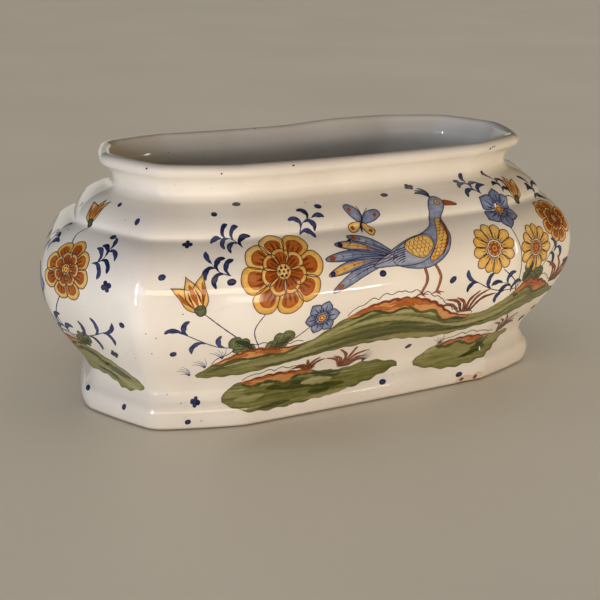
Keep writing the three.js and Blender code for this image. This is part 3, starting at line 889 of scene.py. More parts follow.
def green_leaf(at, angle, length):
    """A broad lobed leaf with a darker half and its ribs."""
    side = [(0, 0), (0.1, 0.16), (0.26, 0.24), (0.36, 0.2), (0.46, 0.32),
            (0.62, 0.34), (0.7, 0.24), (0.82, 0.26), (0.96, 0.14), (1, 0)]
    lower = [(x, -0.9 * y) for x, y in side[-2:0:-1]]
    wash("green", flowing(placed(side + lower, at, length, angle), closed=True), layer=2)
    shade, rib = [(0.1, -0.05), (0.5, -0.12), (0.85, -0.04)], [(0, 0), (0.5, 0.03), (0.96, 0)]
    for path, width in ((shade, length * 0.2), (rib, 0.6)):
        touch("green_deep", placed(path, at, length, angle), width, "leaf", layer=4)
    for x, y in ((0.3, 0.14), (0.5, 0.17), (0.68, 0.16), (0.32, -0.13), (0.52, -0.15)):
        touch("green_deep", placed([(x - 0.12, 0.02), (x + 0.05, y)], at, length, angle), 0.5, layer=5)


def tuft(at, count, length, lean=0, fan=100):
    """Blades of rust-brown grass that fan out and bend over, each with a dark side."""
    for k in range(count):
        share = (k + 0.5) / count * 2 - 1
        angle = 90 + lean - share * fan / 2
        root = np.array(at) + (share * length * 0.2, 0)
        reach = length * hand.uniform(0.72, 1.05)
        path = np.array((root, off(root, reach * 0.55, angle), off(root, reach, angle - 20 * np.sign(share))))
        touch("rust", path, 2.5, "leaf", layer=3)
        touch("outline", path + (0.9, -0.2), 0.45, "blade", layer=6)
        touch("outline", path - (0.9, 0.2), 0.4, "blade", layer=6)


def fine_grass(at, count, length, lean=0):
    for k in range(count):
        angle = 90 + lean - ((k + 0.5) / count * 2 - 1) * 40
        reach = length * hand.uniform(0.6, 1.05)
        path = (at, off(at, reach * 0.6, angle), off(at, reach, angle + 0.5 * lean))
        touch("slate_deep", path, 0.6, "blade", layer=3)


def dab(paint, at, length, width, turn=0, layer=1):
    """One dab of the brush's tip: fuller where it was set down than where it was lifted."""
    side = [(-0.5, 0), (-0.38, 0.36), (-0.05, 0.5), (0.3, 0.4), (0.5, 0)]
    outline = np.array(side + [(x, -y) for x, y in side[-2:0:-1]]) * (length, width)
    wash(paint, rounded(placed(outline, at, 1, turn), DAB_STEP), layer)


def strewn_cross(at, size, turn):
    """A little cross of four dabs that meet in the middle, where the paint is thin."""
    for k in range(4):
        reach = size * (0.5 if k % 2 == 0 else 0.42)
        dab("cobalt", off(at, reach * 0.52, 90 * k + turn), reach * 0.96, size * 0.4, 90 * k + turn + 180)
    dab("slate_deep", at, size * 0.2, size * 0.17, turn, layer=4)


def strewn_dot(at, length, turn, width):
    dab("cobalt", at, length, width, turn)
    dab("slate_deep", off(at, length * 0.1, turn), length * 0.4, width * 0.3, turn, layer=3)


def bank(top, bottom, crests, streaks):
    """A grassy bank: a thin green wash worked over with fuller strokes, ochre along its crests, and
    over each crest a fine scalloped line with white between."""
    top, bottom = flowing(top, step=1.6), flowing(bottom, step=1.6)
    ragged = [line + np.column_stack((0 * line[:, 0], 0.6 * np.sin(np.arange(len(line)) * 0.7 + k)))
              for k, line in enumerate((top, bottom))]
    wash("moss", np.concatenate((ragged[0], ragged[1][::-1])))
    for k in range(streaks):
        depth, slope = hand.uniform(0.06, 0.94), hand.uniform(-0.25, 0.25)
        start = hand.uniform(0.0, 0.66)
        path = []
        for t in np.linspace(start, min(0.97, start + hand.uniform(0.12, 0.34)), 5):
            high, low = top[int(t * (len(top) - 1))], bottom[int(t * (len(bottom) - 1))]
            share = np.clip(depth + slope * (t - start) * 3, 0.06, 0.94)
            path.append(high * (1 - share) + low * share + (0, hand.uniform(-0.3, 0.3)))
        kind = "moss_pale" if k % 3 == 2 else "moss_deep"
        touch(kind, path, hand.uniform(3, 7.5), "leaf", layer=1 + k % 3)
    for start, stop, rise in crests:
        piece = top[int(start * (len(top) - 1)):int(stop * (len(top) - 1)) + 1]
        t = np.linspace(0, 1, len(piece))
        way = way_along(piece)
        body = np.sin(np.pi * t) ** 0.6
        scallop = np.abs(np.sin(way * np.pi / 9 + 1)) * body
        upper = piece + np.column_stack((0 * t, 1.4 * scallop))
        under = piece - np.column_stack((0 * t, 0.6 + rise * body * (1 + 0.25 * np.sin(way * 0.23))))
        wash("ochre_pale", np.concatenate((upper, under[::-1])), layer=4)
        touch("ochre_deep", upper - (0, 1.0), 2.4, "leaf", layer=5)
        for k in range(5):
            first = int(hand.uniform(0.02, 0.7) * len(piece))
            share = hand.uniform(0.25, 0.7)
            last = first + int(len(piece) * hand.uniform(0.15, 0.3))
            lead = ((1 - share) * upper + share * under)[first:last]
            touch("ochre", lead, rise * hand.uniform(0.25, 0.5), "leaf", layer=6)
        for k in range(7):
            first = int((0.02 + 0.13 * k) * len(under))
            lead = (under + (0, hand.uniform(-1, 1.5)))[first:first + int(len(piece) * 0.2)]
            touch("moss_deep", lead, hand.uniform(2, 4), "leaf", layer=6)
        margin = 1.4 + 2.0 * body + 2.0 * np.abs(np.sin(way * np.pi / 12))
        touch("outline", upper + np.column_stack((0 * t, margin)), 0.55, layer=5)


def inside_line(point, line):
    """Whether a point lies inside a closed line."""
    x, y = point
    a, b = line, np.roll(line, -1, axis=0)
    crosses = (a[:, 1] > y) != (b[:, 1] > y)
    reach = a[:, 0] + (y - a[:, 1]) / np.where(b[:, 1] == a[:, 1], 1, b[:, 1] - a[:, 1]) * (b[:, 0] - a[:, 0])
    return np.count_nonzero(crosses & (x < reach)) % 2 == 1


def scales(outline, size, angle, at, layer):
    """Rows of small scallops that fill a closed line, like feathers."""
    low, high = outline.min(0), outline.max(0)
    for j, y in enumerate(np.arange(low[1], high[1], size * 0.8)):
        for x in np.arange(low[0] + size / 2 * (j % 2), high[0], size):
            arc = [off((x, y), size * 0.5, angle + a) for a in (-80, -30, 30, 80)]
            if all(inside_line(p, outline) for p in arc):
                touch("ochre_deep", placed(arc, at), 0.55, layer=layer)


def bird(at):
    """A long-tailed bird that stands and looks ahead, drawn from its feet."""
    def here(points):
        return placed(points, at)

    def patch(paint, points, layer, line=0.55):
        outlined(paint, flowing(here(points), closed=True), layer, layer + 3, line)

    tips = ((-64, 10), (-70, 21), (-69, 33), (-60, 44), (-47, 50))
    for k, tip in enumerate(tips):
        path = flowing([(-10, 29), ((tip[0] - 10) / 2 - 2, (tip[1] + 29) / 2 + 3), tip])
        outlined("slate", here(round_brush_path(path[::8], 7.4)), 1, 5, 0.5)
        vane = here(round_brush_path(path[int(0.4 * len(path)):-3:8], 4.4))
        wash("yellow" if k % 2 else "slate_pale", vane, layer=3)
        touch("ochre_deep" if k % 2 else "cobalt", here(path[::8]), 0.6, "blade", layer=6)
        wash("cobalt" if k % 2 else "ochre", ring(here(path[-9:-8])[0], 2.0, 8), layer=6)
        for share in (0.45, 0.58, 0.7, 0.8):
            spot, ahead = path[int(share * len(path))], path[int(share * len(path)) + 2]
            ray = math.degrees(math.atan2(*(ahead - spot)[::-1]))
            for side in (-38, 38):
                touch("outline", here([spot, off(spot, 3.2, ray + side)]), 0.4, "blade", layer=6)
    body = [(45, 66), (42, 60), (38, 54), (37, 46), (36, 37), (29, 26), (15, 19), (-2, 20), (-14, 25),
            (-12, 33), (2, 40), (15, 44), (24, 49), (29, 57), (31, 66), (36, 72), (42, 71)]
    patch("slate", body, 3)
    breast = [(37, 55), (34.5, 49), (34, 42), (33, 36), (27, 28), (16, 22),
              (16, 27), (22, 34), (26, 41), (29, 48), (32.5, 55)]
    patch("yellow", breast, 5, 0.45)
    scales(flowing(breast, closed=True), 3.2, -60, at, 7)
    touch("ochre_deep", here([(37, 55), (35.5, 46), (34, 38), (26, 26)]), 1.8, "leaf", layer=6)
    wing = [(21, 38), (17, 43), (3, 41), (-10, 36), (-22, 30), (-31, 24), (-16, 23), (0, 22), (12, 24),
            (20, 31)]
    patch("slate_pale", wing, 6)
    coverts = [(20, 37), (15, 42), (2, 40), (-4, 35), (1, 29), (10, 26), (18, 31)]
    patch("yellow", coverts, 7, 0.45)
    scales(flowing(coverts, closed=True), 3.4, 180, at, 9)
    for k in range(7):
        start, stop = (-3 - k * 0.4, 35 - k * 1.6), (-27 + k * 3, 28 - k * 0.75)
        middle = ((start[0] + stop[0]) / 2, (start[1] + stop[1]) / 2 + 0.8)
        touch("cobalt", here([start, middle, stop]), 1.0, "blade", layer=8)
    patch("ochre", [(44.5, 68), (50, 67), (56, 63.5), (49.5, 63.6), (44.5, 64.4)], 4, 0.45)
    for lean in (12, 7, 1):
        leaf_comma(here([(36, 71)])[0], 90 + lean * 3.4, 12.5, 22, 2.4)
    outlined("yellow", ring(here([(39.2, 67)])[0], 2.2, 8), 6, 8, 0.45)
    touch("cobalt", here([(38.6, 67.1), (40.0, 67.1)]), 1.7, "full", layer=8)
    for hip, knee, foot in (((9, 21), (12, 10), (8, 0)), ((18, 21), (23, 11), (21, 0))):
        touch("rust", here([hip, knee, foot]), 2.1, layer=1)
        touch("outline", here([(x + 1, y) for x, y in (hip, knee, foot)]), 0.4, layer=6)
        for toe in ((7, -1.5), (4.8, -3.2), (-4.2, -1.5)):
            touch("rust", here([foot, (foot[0] + toe[0], foot[1] + toe[1])]), 1.6, "blade", layer=5)


def butterfly(at, size, turn=0):
    """A butterfly with open wings, to fill a white place."""
    def here(points):
        return placed(points, at, size, turn)

    for side in (-1, 1):
        upper = [(0, 1), (side * 3, 8), (side * 10, 11), (side * 13, 8), (side * 9, 3), (side * 3, 0)]
        lower = [(0, 0), (side * 5, -1), (side * 9, -4), (side * 7, -9), (side * 3, -7)]
        for paint, outline, seat in (("slate", upper, (side * 9, 7)), ("yellow", lower, (side * 6, -5))):
            outlined(paint, rounded(here(outline)), 2, 5, 0.5)
            wash("ochre", ring(here([seat])[0], 1.5 * size, 8), layer=4)
        touch("outline", here([(0, 4), (side * 2, 8), (side * 4, 11)]), 0.45, layer=5)
    touch("cobalt", here([(0, 5), (0, 0), (0, -8)]), 1.8 * size, "leaf", layer=5)


def strew(crosses, dots):
    for spot in crosses:
        strewn_cross(spot, hand.uniform(7.6, 9.4), hand.uniform(-30, 30))
    for spot in dots:
        strewn_dot(spot, hand.uniform(4.8, 6.4), hand.uniform(-25, 40), hand.uniform(3.8, 4.7))


def stems(*paths):
    """Thin cobalt stems, under all that is painted later."""
    for path in paths:
        touch("cobalt", path, 0.8, layer=0)


# The front: a great peony to the left, a bird on the ridge of its bank, and daisies to its right.
bank([(-146, 42), (-128, 55), (-104, 66), (-84, 64), (-62, 66), (-40, 80), (-16, 90), (12, 91),
      (36, 84), (56, 71), (82, 66), (104, 78), (122, 88), (142, 84), (160, 76), (178, 68)],
     [(-144, 39), (-112, 40), (-72, 46), (-34, 52), (8, 53), (52, 47), (96, 52), (140, 60), (178, 66)],
     crests=[(0.05, 0.25, 7), (0.35, 0.68, 9), (0.79, 0.95, 9)], streaks=22)
bank([(-122, 22), (-108, 31), (-84, 35), (-56, 34), (-28, 29), (0, 32), (26, 27)],
     [(-122, 18), (-96, 10), (-54, 11), (-10, 16), (26, 24)], crests=[(0.14, 0.52, 7)], streaks=12)
bank([(40, 24), (58, 34), (84, 39), (112, 36), (148, 34)], [(40, 21), (70, 15), (108, 19), (148, 31)],
     crests=[(0.2, 0.7, 6)], streaks=9)
stems([(-98, 66), (-104, 84), (-94, 100)], [(-100, 66), (-122, 84), (-138, 98)],
      [(-97, 66), (-76, 70), (-58, 84)])
peony((-84, 122), 30, turn=12)
tulip((-140, 100), 1.05, turn=24)
blue_flower((-55, 86), 12.5, turn=10)
sprig([(-110, 70), (-128, 71), (-151, 83)], 3, 13, first_side=-1)
plume((-108, 142), 132, 6, 20)
plume((-64, 148), 66, 5, 18, bend=-24)
plume((-120, 122), 160, 5, 17, bend=-16)
green_leaf((-94, 64), 32, 24)
green_leaf((-101, 64), 146, 23)
bird((14, 93))
stems([(110, 82), (104, 92), (92, 102)], [(112, 82), (120, 90), (126, 96)],
      [(110, 82), (109, 112), (104, 132)], [(113, 84), (138, 96), (156, 112)],
      [(116, 156), (128, 156), (137, 150)])
daisy((84, 118), 18.5, turn=8)
daisy((128, 112), 18, turn=20)
blue_flower((106, 148), 17, turn=84)
peony((162, 128), 18, turn=60)
tulip((138, 152), 0.95, turn=-12)
sprig([(110, 84), (88, 86), (68, 96)], 3, 12)
plume((96, 162), 128, 5, 16, bend=-20)
plume((122, 160), 66, 4, 15, bend=18)
plume((146, 104), 8, 4, 16)
plume((104, 82), 118, 4, 16)
plume((168, 148), 58, 4, 15)
green_leaf((118, 86), 14, 24)
green_leaf((116, 88), 62, 20)
tuft((66, 70), 6, 25, lean=6)
tuft((164, 78), 6, 26, lean=-16, fan=80)
tuft((-22, 31), 7, 21, lean=-14)
tuft((128, 36), 6, 20, lean=-10)
tuft((-52, 34), 5, 13, lean=16)
for spot, lean in (((-137, 50), 24), ((-124, 59), 16), ((-150, 42), 30), ((62, 36), 14), ((-6, 32), -18)):
    fine_grass(spot, 5, 12, lean)
butterfly((-14, 152), 1.1, turn=-18)
strew([(-151, 146), (-30, 136), (40, 178), (-146, 20), (166, 40), (174, 92)],
      [(-160, 66), (-128, 168), (-44, 168), (14, 172), (44, 126), (48, 100), (84, 178), (166, 160),
       (-104, 178), (120, 182), (-165, 122), (172, 50), (32, 40), (-120, 118), (-152, 6), (80, 8),
       (10, 14), (-10, 112)])


def end_spray(middle, flip):
    """An end of the pot: a peony, a blue flower and a tulip over a low bank."""
    def at(x, y):
        return (middle + flip * x, y)

    bank([at(-46, 42), at(-26, 60), at(0, 62), at(30, 50), at(66, 30)],
         [at(-46, 38), at(-20, 32), at(10, 30), at(40, 24), at(66, 27)], crests=[(0.08, 0.5, 7)], streaks=10)
    stems([at(2, 62), at(-4, 80), at(8, 100)], [at(0, 62), at(-14, 76), at(-20, 88)],
          [at(8, 130), at(2, 142), at(6, 152)])
    peony(at(12, 116), 21, turn=30)
    blue_flower(at(-24, 100), 14, turn=5)
    tulip(at(4, 152), 0.85, turn=12 * flip)
    sprig([at(2, 66), at(24, 70), at(44, 78)], 4, 13, first_side=flip)
    plume(at(34, 124), 90 - 62 * flip, 6, 19, bend=24 * flip)
    plume(at(-14, 124), 90 + 44 * flip, 5, 17, bend=-24 * flip)
    plume(at(0, 66), 90 + 30 * flip, 4, 16)
    green_leaf(at(4, 60), 90 - 66 * flip, 21)
    tuft(at(-34, 54), 4, 16, lean=10 * flip)
    strew([at(50, 112), at(44, 58), at(-46, 128)],
          [at(40, 146), at(26, 170), at(-24, 160), at(62, 88), at(-50, 84), at(62, 160), at(44, 12),
           at(-8, 16)])


END_SPRAY_PLACE = 255
for middle, flip in ((-END_SPRAY_PLACE, 1), (END_SPRAY_PLACE, -1)):
    end_spray(middle, flip)


def back_spray(middle, flip):
    """Half of the back, painted more plainly: daisies and a blue flower on a bank."""
    def at(x, y):
        return (middle + flip * x, y)

    bank([at(-66, 40), at(-42, 56), at(-10, 64), at(24, 60), at(64, 44)],
         [at(-66, 37), at(-30, 34), at(10, 36), at(64, 40)], crests=[(0.2, 0.75, 7)], streaks=14)
    stems([at(0, 62), at(-8, 84), at(-18, 98)], [at(2, 62), at(14, 80), at(24, 90)],
          [at(1, 62), at(4, 104), at(0, 132)])
    daisy(at(-20, 112), 18, turn=10)
    daisy(at(26, 104), 17, turn=24)
    blue_flower(at(2, 148), 16, turn=80)
    sprig([at(0, 68), at(28, 70), at(52, 80)], 4, 13, first_side=flip)
    sprig([at(0, 66), at(-26, 72), at(-50, 82)], 4, 13, first_side=-flip)
    plume(at(-40, 128), 90 + 40 * flip, 5, 18)
    plume(at(46, 120), 90 - 40 * flip, 5, 18, bend=-24)
    tuft(at(42, 52), 5, 20)
    strew([at(-66, 100), at(68, 112), at(-42, 160), at(48, 156)],
          [at(-78, 140), at(-76, 66), at(80, 78), at(24, 176), at(-20, 176), at(82, 150), at(-30, 14),
           at(36, 18)])


BACK_SPRAY_SHIFT = 84
BACK_SPRAY_PLACE = HALF_ROUND / MM - BACK_SPRAY_SHIFT
for middle, flip in ((-BACK_SPRAY_PLACE, 1), (BACK_SPRAY_PLACE, -1)):
    back_spray(middle, flip)


def oxide_paint(name, thin, full, pooled, streaky=0.5):
    """A metal oxide in the glaze: as glossy as the glaze, paler where the brush ran thin, darker
    where it was charged and along the edge where the paint pooled."""
    material, add, shader, place = new_material(name)
    canvas = add("ShaderNodeAttribute", attribute_name="canvas")
    per_streak = (1 / STREAK_LENGTH, 1 / STREAK_WIDTH, 1)
    drawn_out = {0: canvas.outputs["Vector"], 1: per_streak}
    drawn_out = add("ShaderNodeVectorMath", drawn_out, operation="MULTIPLY")
    streak = add("ShaderNodeTexNoise", {"Vector": drawn_out, "Scale": 1.0, "Detail": 3.0})
    cloud = add("ShaderNodeTexNoise", {"Vector": place, "Scale": 1 / PAINT_CLOUD, "Detail": 3.0})
    grain = add("ShaderNodeMix", {"Factor": streaky, "A": cloud, "B": streak})
    load = add("ShaderNodeAttribute", attribute_name="load")
    charge = add("ShaderNodeMath", {0: load.outputs["Fac"], 1: 0.3, 2: grain}, operation="MULTIPLY_ADD")
    tone = add("ShaderNodeValToRGB", {0: charge}, stops=((0.42, thin), (0.8, full)))
    pool = add("ShaderNodeAttribute", attribute_name="pool")
    share = add("ShaderNodeMath", {0: pool.outputs["Fac"], 1: 0.75}, operation="MULTIPLY")
    colour = add("ShaderNodeMix", {"Factor": share, "A": tone, "B": linear(pooled)}, data_type="RGBA")
    plug(shader, {"Base Color": colour.outputs["Result"]})
    finish_glossy(add, shader, place)
    return material


PAINTS = {
    "moss": oxide_paint("copper_green", "#96935E", "#5F6129", "#4C4E25", 0.8),
    "moss_pale": oxide_paint("copper_green_thin", "#B0AC7F", "#87844E", "#787742", 0.8),
    "moss_deep": oxide_paint("copper_green_deep", "#565828", "#333817", "#6A6C35", 0.8),
    "green": oxide_paint("leaf_green", "#7B8052", "#505A34", "#333C24"),
    "green_deep": oxide_paint("leaf_green_deep", "#424B2E", "#28321F", "#222A1C"),
    "yellow": oxide_paint("antimony_yellow", "#EBCE86", "#DFAE52", "#C48A34"),
    "ochre": oxide_paint("iron_ochre", "#BC7233", "#9F4E1A", "#8E4418"),
    "ochre_pale": oxide_paint("iron_ochre_thin", "#D29A5E", "#BC7332", "#A85C24"),
    "ochre_deep": oxide_paint("iron_ochre_deep", "#99490F", "#6E2D0B", "#5E250A"),
    "rust": oxide_paint("iron_rust", "#B06A42", "#8A4524", "#65301A"),
    "slate": oxide_paint("thin_cobalt", "#A2AABC", "#6F7C9C", "#48547A"),
    "slate_pale": oxide_paint("pale_cobalt", "#BCC1C9", "#959EB0", "#606A88"),
    "slate_deep": oxide_paint("middle_cobalt", "#566391", "#36416B", "#262F58"),
    "cobalt": oxide_paint("full_cobalt", "#46527F", "#1B2346", "#12162F"),
    "outline": oxide_paint("manganese_line", "#4C454A", "#2A262F", "#221F28"),
}
drape = laid_on_the_ware()
for paint, colours in pots.items():
    mesh = bpy.data.meshes.new(paint + "_flat")
    mesh.from_pydata([Vector(p) * MM for p in colours["points"]], colours["edges"], colours["faces"])
    for label in ("half_width", "pool", "load"):
        mesh.attributes.new(label, "FLOAT", "POINT").data.foreach_set("value", colours[label])
    layer = grown("painted_" + paint, mesh, drape, ware=ware, half_round=HALF_ROUND, depth=PAINT_DEPTH,
                  bristles=3 if paint == "outline" else 5, material=PAINTS[paint])
    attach(layer, "root")

# The chips
# Knocks that the ware has taken. At the foot the glaze has flaked off in two shells, with red clay
# bare at the bottom of each, and the lip has a few small nicks. They are cut out of the ware.

# In millimetres: place round the belly, place up the wall, half width, half height and depth. Then how
# bare it is: 0 a scar of glaze, 1 clean clay, 2 clay with dirt in it. Each round cuts into the last.
CHIP_ROUNDS = (
    ((87, 2, 10, 8, 0.6, 0), (118, 205, 1.2, 1, 0.5, 2), (123, 206, 1, 0.9, 0.5, 2),
     (126.5, 206, 0.9, 0.8, 0.4, 2), (-61, 208, 1.4, 0.8, 0.5, 2), (-119, 205, 0.9, 0.9, 0.4, 2),
     (-190, 207, 1.1, 0.9, 0.5, 2), (470, 208, 1.8, 1, 0.5, 2), (-400, 207, 1.3, 1, 0.5, 2)),
    ((99.5, 3, 8, 7, 0.55, 0),),
    ((84.5, 2.4, 2.8, 2.2, 1, 1), (97.5, 2.6, 2.6, 2.4, 1, 1)),
)
FLAKE_FULLNESS = 1.4 * MM
BREAK_GRAIN = 1.5 * MM
BREAK_ROUGHNESS = 0.22 * MM


def broken_ware():
    """Where the glaze has flaked off: matt, buff where a scar of it is left, red where clay is bare."""
    material, add, shader, place = new_material("broken_ware")
    grain = add("ShaderNodeTexNoise", {"Vector": place, "Scale": 1 / CLAY_GRAIN, "Detail": 3.0})
    raw = add("ShaderNodeAttribute", attribute_name="raw")
    bare = add("ShaderNodeMapRange", {"Value": raw.outputs["Fac"], "From Max": 2.0, "To Max": 0.8})
    share = add("ShaderNodeMath", {0: grain, 1: 0.3, 2: bare}, operation="MULTIPLY_ADD")
    tone = add("ShaderNodeValToRGB", {0: share}, stops=(
        (0.1, "#E4D5BC"), (0.24, "#D0B897"), (0.5, "#8A4A30"), (0.62, "#7A4029"), (0.9, "#33261F"),
    ))
    bump = add("ShaderNodeBump", {"Height": grain, "Distance": 0.1 * MM})
    plug(shader, {"Base Color": tone, "Roughness": 0.7, "Normal": bump})
    return material


def knocked_out():
    """A tree that cuts rough rounded lumps out of the ware at points of its canvas map."""
    add, given, result = new_tree("knocked_out", {
        "Uncut": "Object", "Spots": "Object", "Fullness": "Float", "Grain": "Float", "Roughness": "Float",
        "Material": "Material",
    })
    whole = given["Geometry"]
    spots = add("GeometryNodeObjectInfo", {"Object": given["Spots"]}).outputs["Geometry"]
    depth = add("GeometryNodeInputNamedAttribute", {"Name": "depth"})
    half_size = add("GeometryNodeInputNamedAttribute", {"Name": "half_size"}, data_type="FLOAT_VECTOR")
    foot, normal = found_on_the_ware(add, given["Uncut"], add("GeometryNodeInputPosition"))
    out = add("ShaderNodeMath", {0: given["Fullness"], 1: depth}, operation="SUBTRACT")
    rise = add("ShaderNodeVectorMath", {0: normal, "Scale": out}, operation="SCALE")
    place = add("ShaderNodeVectorMath", {0: foot, 1: rise}, operation="ADD")
    level = add("ShaderNodeVectorMath", {0: (0, 0, 1), 1: normal}, operation="CROSS_PRODUCT")
    stand = add("FunctionNodeAlignRotationToVector", {"Vector": normal}, axis="Z")
    stand = add("FunctionNodeAlignRotationToVector", {"Rotation": stand, "Vector": level},
                axis="X", pivot_axis="Z")
    points = add("GeometryNodeMeshToPoints", {"Mesh": spots})
    points = add("GeometryNodeStoreNamedAttribute", {"Geometry": points, "Name": "stand", "Value": stand},
                 data_type="QUATERNION")
    points = add("GeometryNodeSetPosition", {"Geometry": points, "Position": place})
    lump = add("GeometryNodeMeshIcoSphere", {"Radius": 1.0, "Subdivisions": 4})
    stand = add("GeometryNodeInputNamedAttribute", {"Name": "stand"}, data_type="QUATERNION")
    lumps = add("GeometryNodeInstanceOnPoints",
                {"Points": points, "Instance": lump, "Scale": half_size, "Rotation": stand})
    lumps = add("GeometryNodeRealizeInstances", {"Geometry": lumps})
    fine = add("ShaderNodeMath", {0: 1.0, 1: given["Grain"]}, operation="DIVIDE")
    rough = add("ShaderNodeTexNoise", {"Scale": fine, "Detail": 2.0})
    rough = add("ShaderNodeVectorMath", {0: rough.outputs["Color"], 1: (0.5, 0.5, 0.5)}, operation="SUBTRACT")
    rough = add("ShaderNodeVectorMath", {0: rough, "Scale": given["Roughness"]}, operation="SCALE")
    lumps = add("GeometryNodeSetPosition", {"Geometry": lumps, "Offset": rough})
    lumps = add("GeometryNodeStoreNamedAttribute", {"Geometry": lumps, "Name": "broken", "Value": 1.0},
                domain="FACE")
    lumps = add("GeometryNodeSetMaterial", {"Geometry": lumps, "Material": given["Material"]})
    cut = add("GeometryNodeMeshBoolean", {"Mesh 1": whole, "Mesh 2": lumps},
              operation="DIFFERENCE", solver="MANIFOLD")
    edge = add("GeometryNodeInputNamedAttribute", {"Name": "broken"})
    edge = add("FunctionNodeCompare", {"A": edge, "B": 0.5, "Epsilon": 0.3}, operation="EQUAL")
    cut = add("GeometryNodeSetShadeSmooth",
              {"Geometry": cut, "Selection": edge, "Shade Smooth": False}, domain="EDGE")
    return finish_tree(add, cut, result)


knock = knocked_out()
broken = broken_ware()
uncut_ware = add_object("uncut_ware", ware.data)
for chips in map(np.array, CHIP_ROUNDS):
    half_sizes = np.column_stack((chips[:, 2:4] * MM, np.full(len(chips), FLAKE_FULLNESS)))
    spots = add_object("chip_spots", point_mesh(
        "chip_spots", np.column_stack((chips[:, :2] * MM, np.zeros(len(chips)))),
        half_size=half_sizes, depth=chips[:, 4] * MM, raw=chips[:, 5],
    ))
    cut_ware = grown("cut_ware", ware.data, knock, uncut=uncut_ware, spots=spots, fullness=FLAKE_FULLNESS,
                     grain=BREAK_GRAIN, roughness=BREAK_ROUGHNESS, material=broken)
    ware.data = cut_ware.data
    bpy.data.objects.remove(cut_ware)
    bpy.data.objects.remove(spots)
bpy.data.objects.remove(uncut_ware)

# Specks in the glaze
# Iron from the clay, ash from the kiln and pinholes where gas came out: small dark grains that lie
# anywhere in the glaze, inside and out, and are part of its skin.
SPECKS_PER_SQUARE_METRE = 1300
SPECK_RADIUS = 0.7 * MM
SPECK_FLATNESS = 0.25
SMALLEST_SPECK = 0.28
MOST_ARE_SMALL = 2.6


def strewn_in_the_glaze():
    """A tree that strews copies of a grain over a surface, most of them small, and beds them in it."""
    add, given, result = new_tree("strewn_in_the_glaze", {
        "Ware": "Object", "Density": "Float", "Seed": "Int", "Material": "Material",
    })
    skin_mesh = add("GeometryNodeObjectInfo", {"Object": given["Ware"]}).outputs["Geometry"]
    spots = add("GeometryNodeDistributePointsOnFaces", {
        "Mesh": skin_mesh, "Density": given["Density"], "Seed": given["Seed"],
    })
    chance = add("FunctionNodeRandomValue", {"Seed": given["Seed"]})
    size = add("ShaderNodeMath", {0: chance.outputs[1], 1: MOST_ARE_SMALL}, operation="POWER")
    size = add("ShaderNodeMapRange", {"Value": size, "To Min": SMALLEST_SPECK, "To Max": 1.0})
    tone = add("FunctionNodeRandomValue", {"Seed": 3})
    spots_toned = add("GeometryNodeStoreNamedAttribute",
                      {"Geometry": spots.outputs["Points"], "Name": "tone", "Value": tone.outputs[1]})
    grains = add("GeometryNodeInstanceOnPoints", {
        "Points": spots_toned, "Instance": given["Geometry"],
        "Rotation": spots.outputs["Rotation"], "Scale": size,
    })
    grains = add("GeometryNodeRealizeInstances", {"Geometry": grains})
    grains = add("GeometryNodeSetShadeSmooth", {"Geometry": grains})
    grains = add("GeometryNodeSetMaterial", {"Geometry": grains, "Material": given["Material"]})
    return finish_tree(add, grains, result)


def iron_speck():
    """Iron and ash melted into glaze: glossy, from brown to blue-black."""
    material, add, shader, _ = new_material("iron_speck")
    tone = add("ShaderNodeAttribute", attribute_name="tone")
    colour = add("ShaderNodeValToRGB", {0: tone.outputs["Fac"]}, stops=(
        (0.0, "#7A6450"), (0.55, "#3C322C"), (1.0, "#23262F"),
    ))
    plug(shader, {"Base Color": colour, "Roughness": 0.25})
    return material


grain_shape = bmesh.new()
bmesh.ops.create_icosphere(grain_shape, subdivisions=1, radius=SPECK_RADIUS)
bmesh.ops.scale(grain_shape, vec=(1, 0.75, SPECK_FLATNESS), verts=grain_shape.verts)
grain = bpy.data.meshes.new("grain")
grain_shape.to_mesh(grain)
grain_shape.free()
specks = grown("glaze_specks", grain, strewn_in_the_glaze(), ware=ware, density=SPECKS_PER_SQUARE_METRE,
               seed=4, material=iron_speck())
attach(specks, "root")

# The studio
# A plain pale floor, which a wide panel overhead lights alone. On the pot falls soft light from windows
# in front, to the left, above and behind, and narrow panes and strips give the glaze its glints.
FLOOR_HALF_WIDTH = 15
FLOOR_CLOUDS_PER_METRE = 3.0


def pale_floor():
    """Matt painted board, a little cloudy."""
    material, add, shader, place = new_material("pale_floor")
    cloud = add("ShaderNodeTexNoise", {"Vector": place, "Scale": FLOOR_CLOUDS_PER_METRE, "Detail": 2.0})
    tone = add("ShaderNodeValToRGB", {0: cloud}, stops=((0.3, "#DBD5C9"), (0.7, "#E1DBCF")))
    plug(shader, {"Base Color": tone, "Roughness": 0.55})
    return material


floor_mesh = bpy.data.meshes.new("floor")
corners = [(x * FLOOR_HALF_WIDTH, y * FLOOR_HALF_WIDTH, 0) for x, y in ((-1, -1), (1, -1), (1, 1), (-1, 1))]
floor_mesh.from_pydata(corners, [], [(0, 1, 2, 3)])
floor_mesh.materials.append(pale_floor())
floor = add_object("floor", floor_mesh)


def lit_by(name, state):
    """What a light falls on: all but the floor (EXCLUDE), or the floor alone (INCLUDE)."""
    listed = bpy.data.collections.new(name)
    listed.objects.link(floor)
    listed.collection_objects[0].light_linking.link_state = state
    return listed


all_but_floor = lit_by("all_but_floor", "EXCLUDE")
floor_alone = lit_by("floor_alone", "INCLUDE")


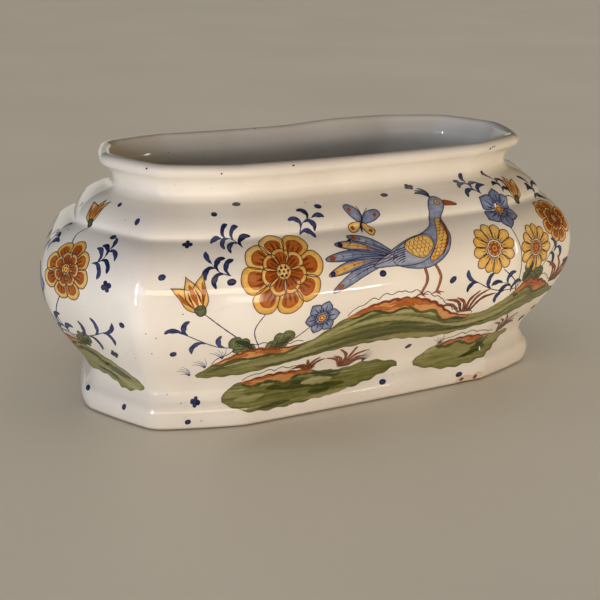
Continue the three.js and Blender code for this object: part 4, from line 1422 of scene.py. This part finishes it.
def soft_light(name, place, size, colour, power, aim=(0, 0, 0.09), spread=180, lit=all_but_floor):
    """An area light of that width and height that faces the pot, or the place it is aimed at."""
    data = bpy.data.lights.new(name, "AREA")
    data.shape = "RECTANGLE"
    data.size, data.size_y = size
    data.color = linear(colour)[:3]
    data.energy = power
    data.spread = math.radians(spread)
    light = add_object(name, data)
    light.location = place
    light.rotation_euler = (Vector(aim) - Vector(place)).to_track_quat("-Z", "Y").to_euler()
    light.visible_camera = False
    light.light_linking.receiver_collection = lit
    light.light_linking.blocker_collection = all_but_floor


soft_light("window", (-0.7, -3.2, 0.28), (2.8, 0.54), "#FFD8AA", 26.5)
soft_light("left_window", (-2.78, -2.02, 0.55), (2.6, 1.0), "#BED4FF", 31)
soft_light("upper_window", (-0.5, -2.8, 1.5), (2.4, 0.8), "#FFE6C4", 6)
soft_light("left_pane", (-2.72, -1.44, 0.62), (0.24, 1.15), "#F6F8FF", 20)
soft_light("low_pane", (-0.44, -0.2, 0.03), (0.012, 0.06), "#F6F8FF", 0.01, aim=(-0.17, -0.07, 0.1),
           spread=40)
soft_light("far_sash", (2.96, -1.76, 0.56), (0.2, 1.1), "#FFF2DC", 10)
soft_light("low_glow", (0.12, -0.42, 0.02), (0.6, 0.08), "#FFEFD8", 0.075, aim=(0.07, -0.1, 0.1), spread=40)
soft_light("low_strip", (1.7, -2.83, -0.92), (0.3, 0.05), "#FFF6E8", 2.2)
soft_light("back_window", (0.4, 4.0, 0.5), (5, 1.3), "#F4EEE4", 12)
soft_light("ceiling", (0, 0, 6), (30, 30), "#FFF8EE", 1250, aim=(0, 0.001, 0), lit=floor_alone)

# The room round the pot: cooler to the left, warmer to the right and low down, and pale at the horizon.
world = bpy.data.worlds.new("room")
world.use_nodes = True
add = partial(add_node, world.node_tree)
light_from_room = world.node_tree.nodes["Background"]
way = add("ShaderNodeSeparateXYZ", {0: add("ShaderNodeTexCoord").outputs["Generated"]})
across = add("ShaderNodeMapRange", {"Value": way.outputs["X"], "From Min": -1.0})
sky = add("ShaderNodeValToRGB", {0: across}, stops=((0.1, "#939FB0"), (0.9, "#CDB283")))
height = add("ShaderNodeMapRange", {"Value": way.outputs["Z"], "From Max": 0.4})
tint = add("ShaderNodeMix", {"Factor": height, "A": linear("#B5986A"), "B": sky}, data_type="RGBA")
power = add("ShaderNodeMapRange", {"Value": way.outputs["Z"], "To Min": 0.13, "To Max": 0.135})
plug(light_from_room, {"Color": tint.outputs["Result"], "Strength": power})
horizon = add("ShaderNodeBackground", {"Color": linear("#A29A8A")})
above = add("ShaderNodeMapRange", {"Value": way.outputs["Z"], "From Min": 0.1, "From Max": 0.2})
room = add("ShaderNodeMixShader", {0: above, 1: horizon, 2: light_from_room})
plug(world.node_tree.nodes["World Output"], {"Surface": room})
bpy.context.scene.world = world
bpy.context.scene.view_settings.view_transform = "Standard"
bpy.data.objects.remove(plan)
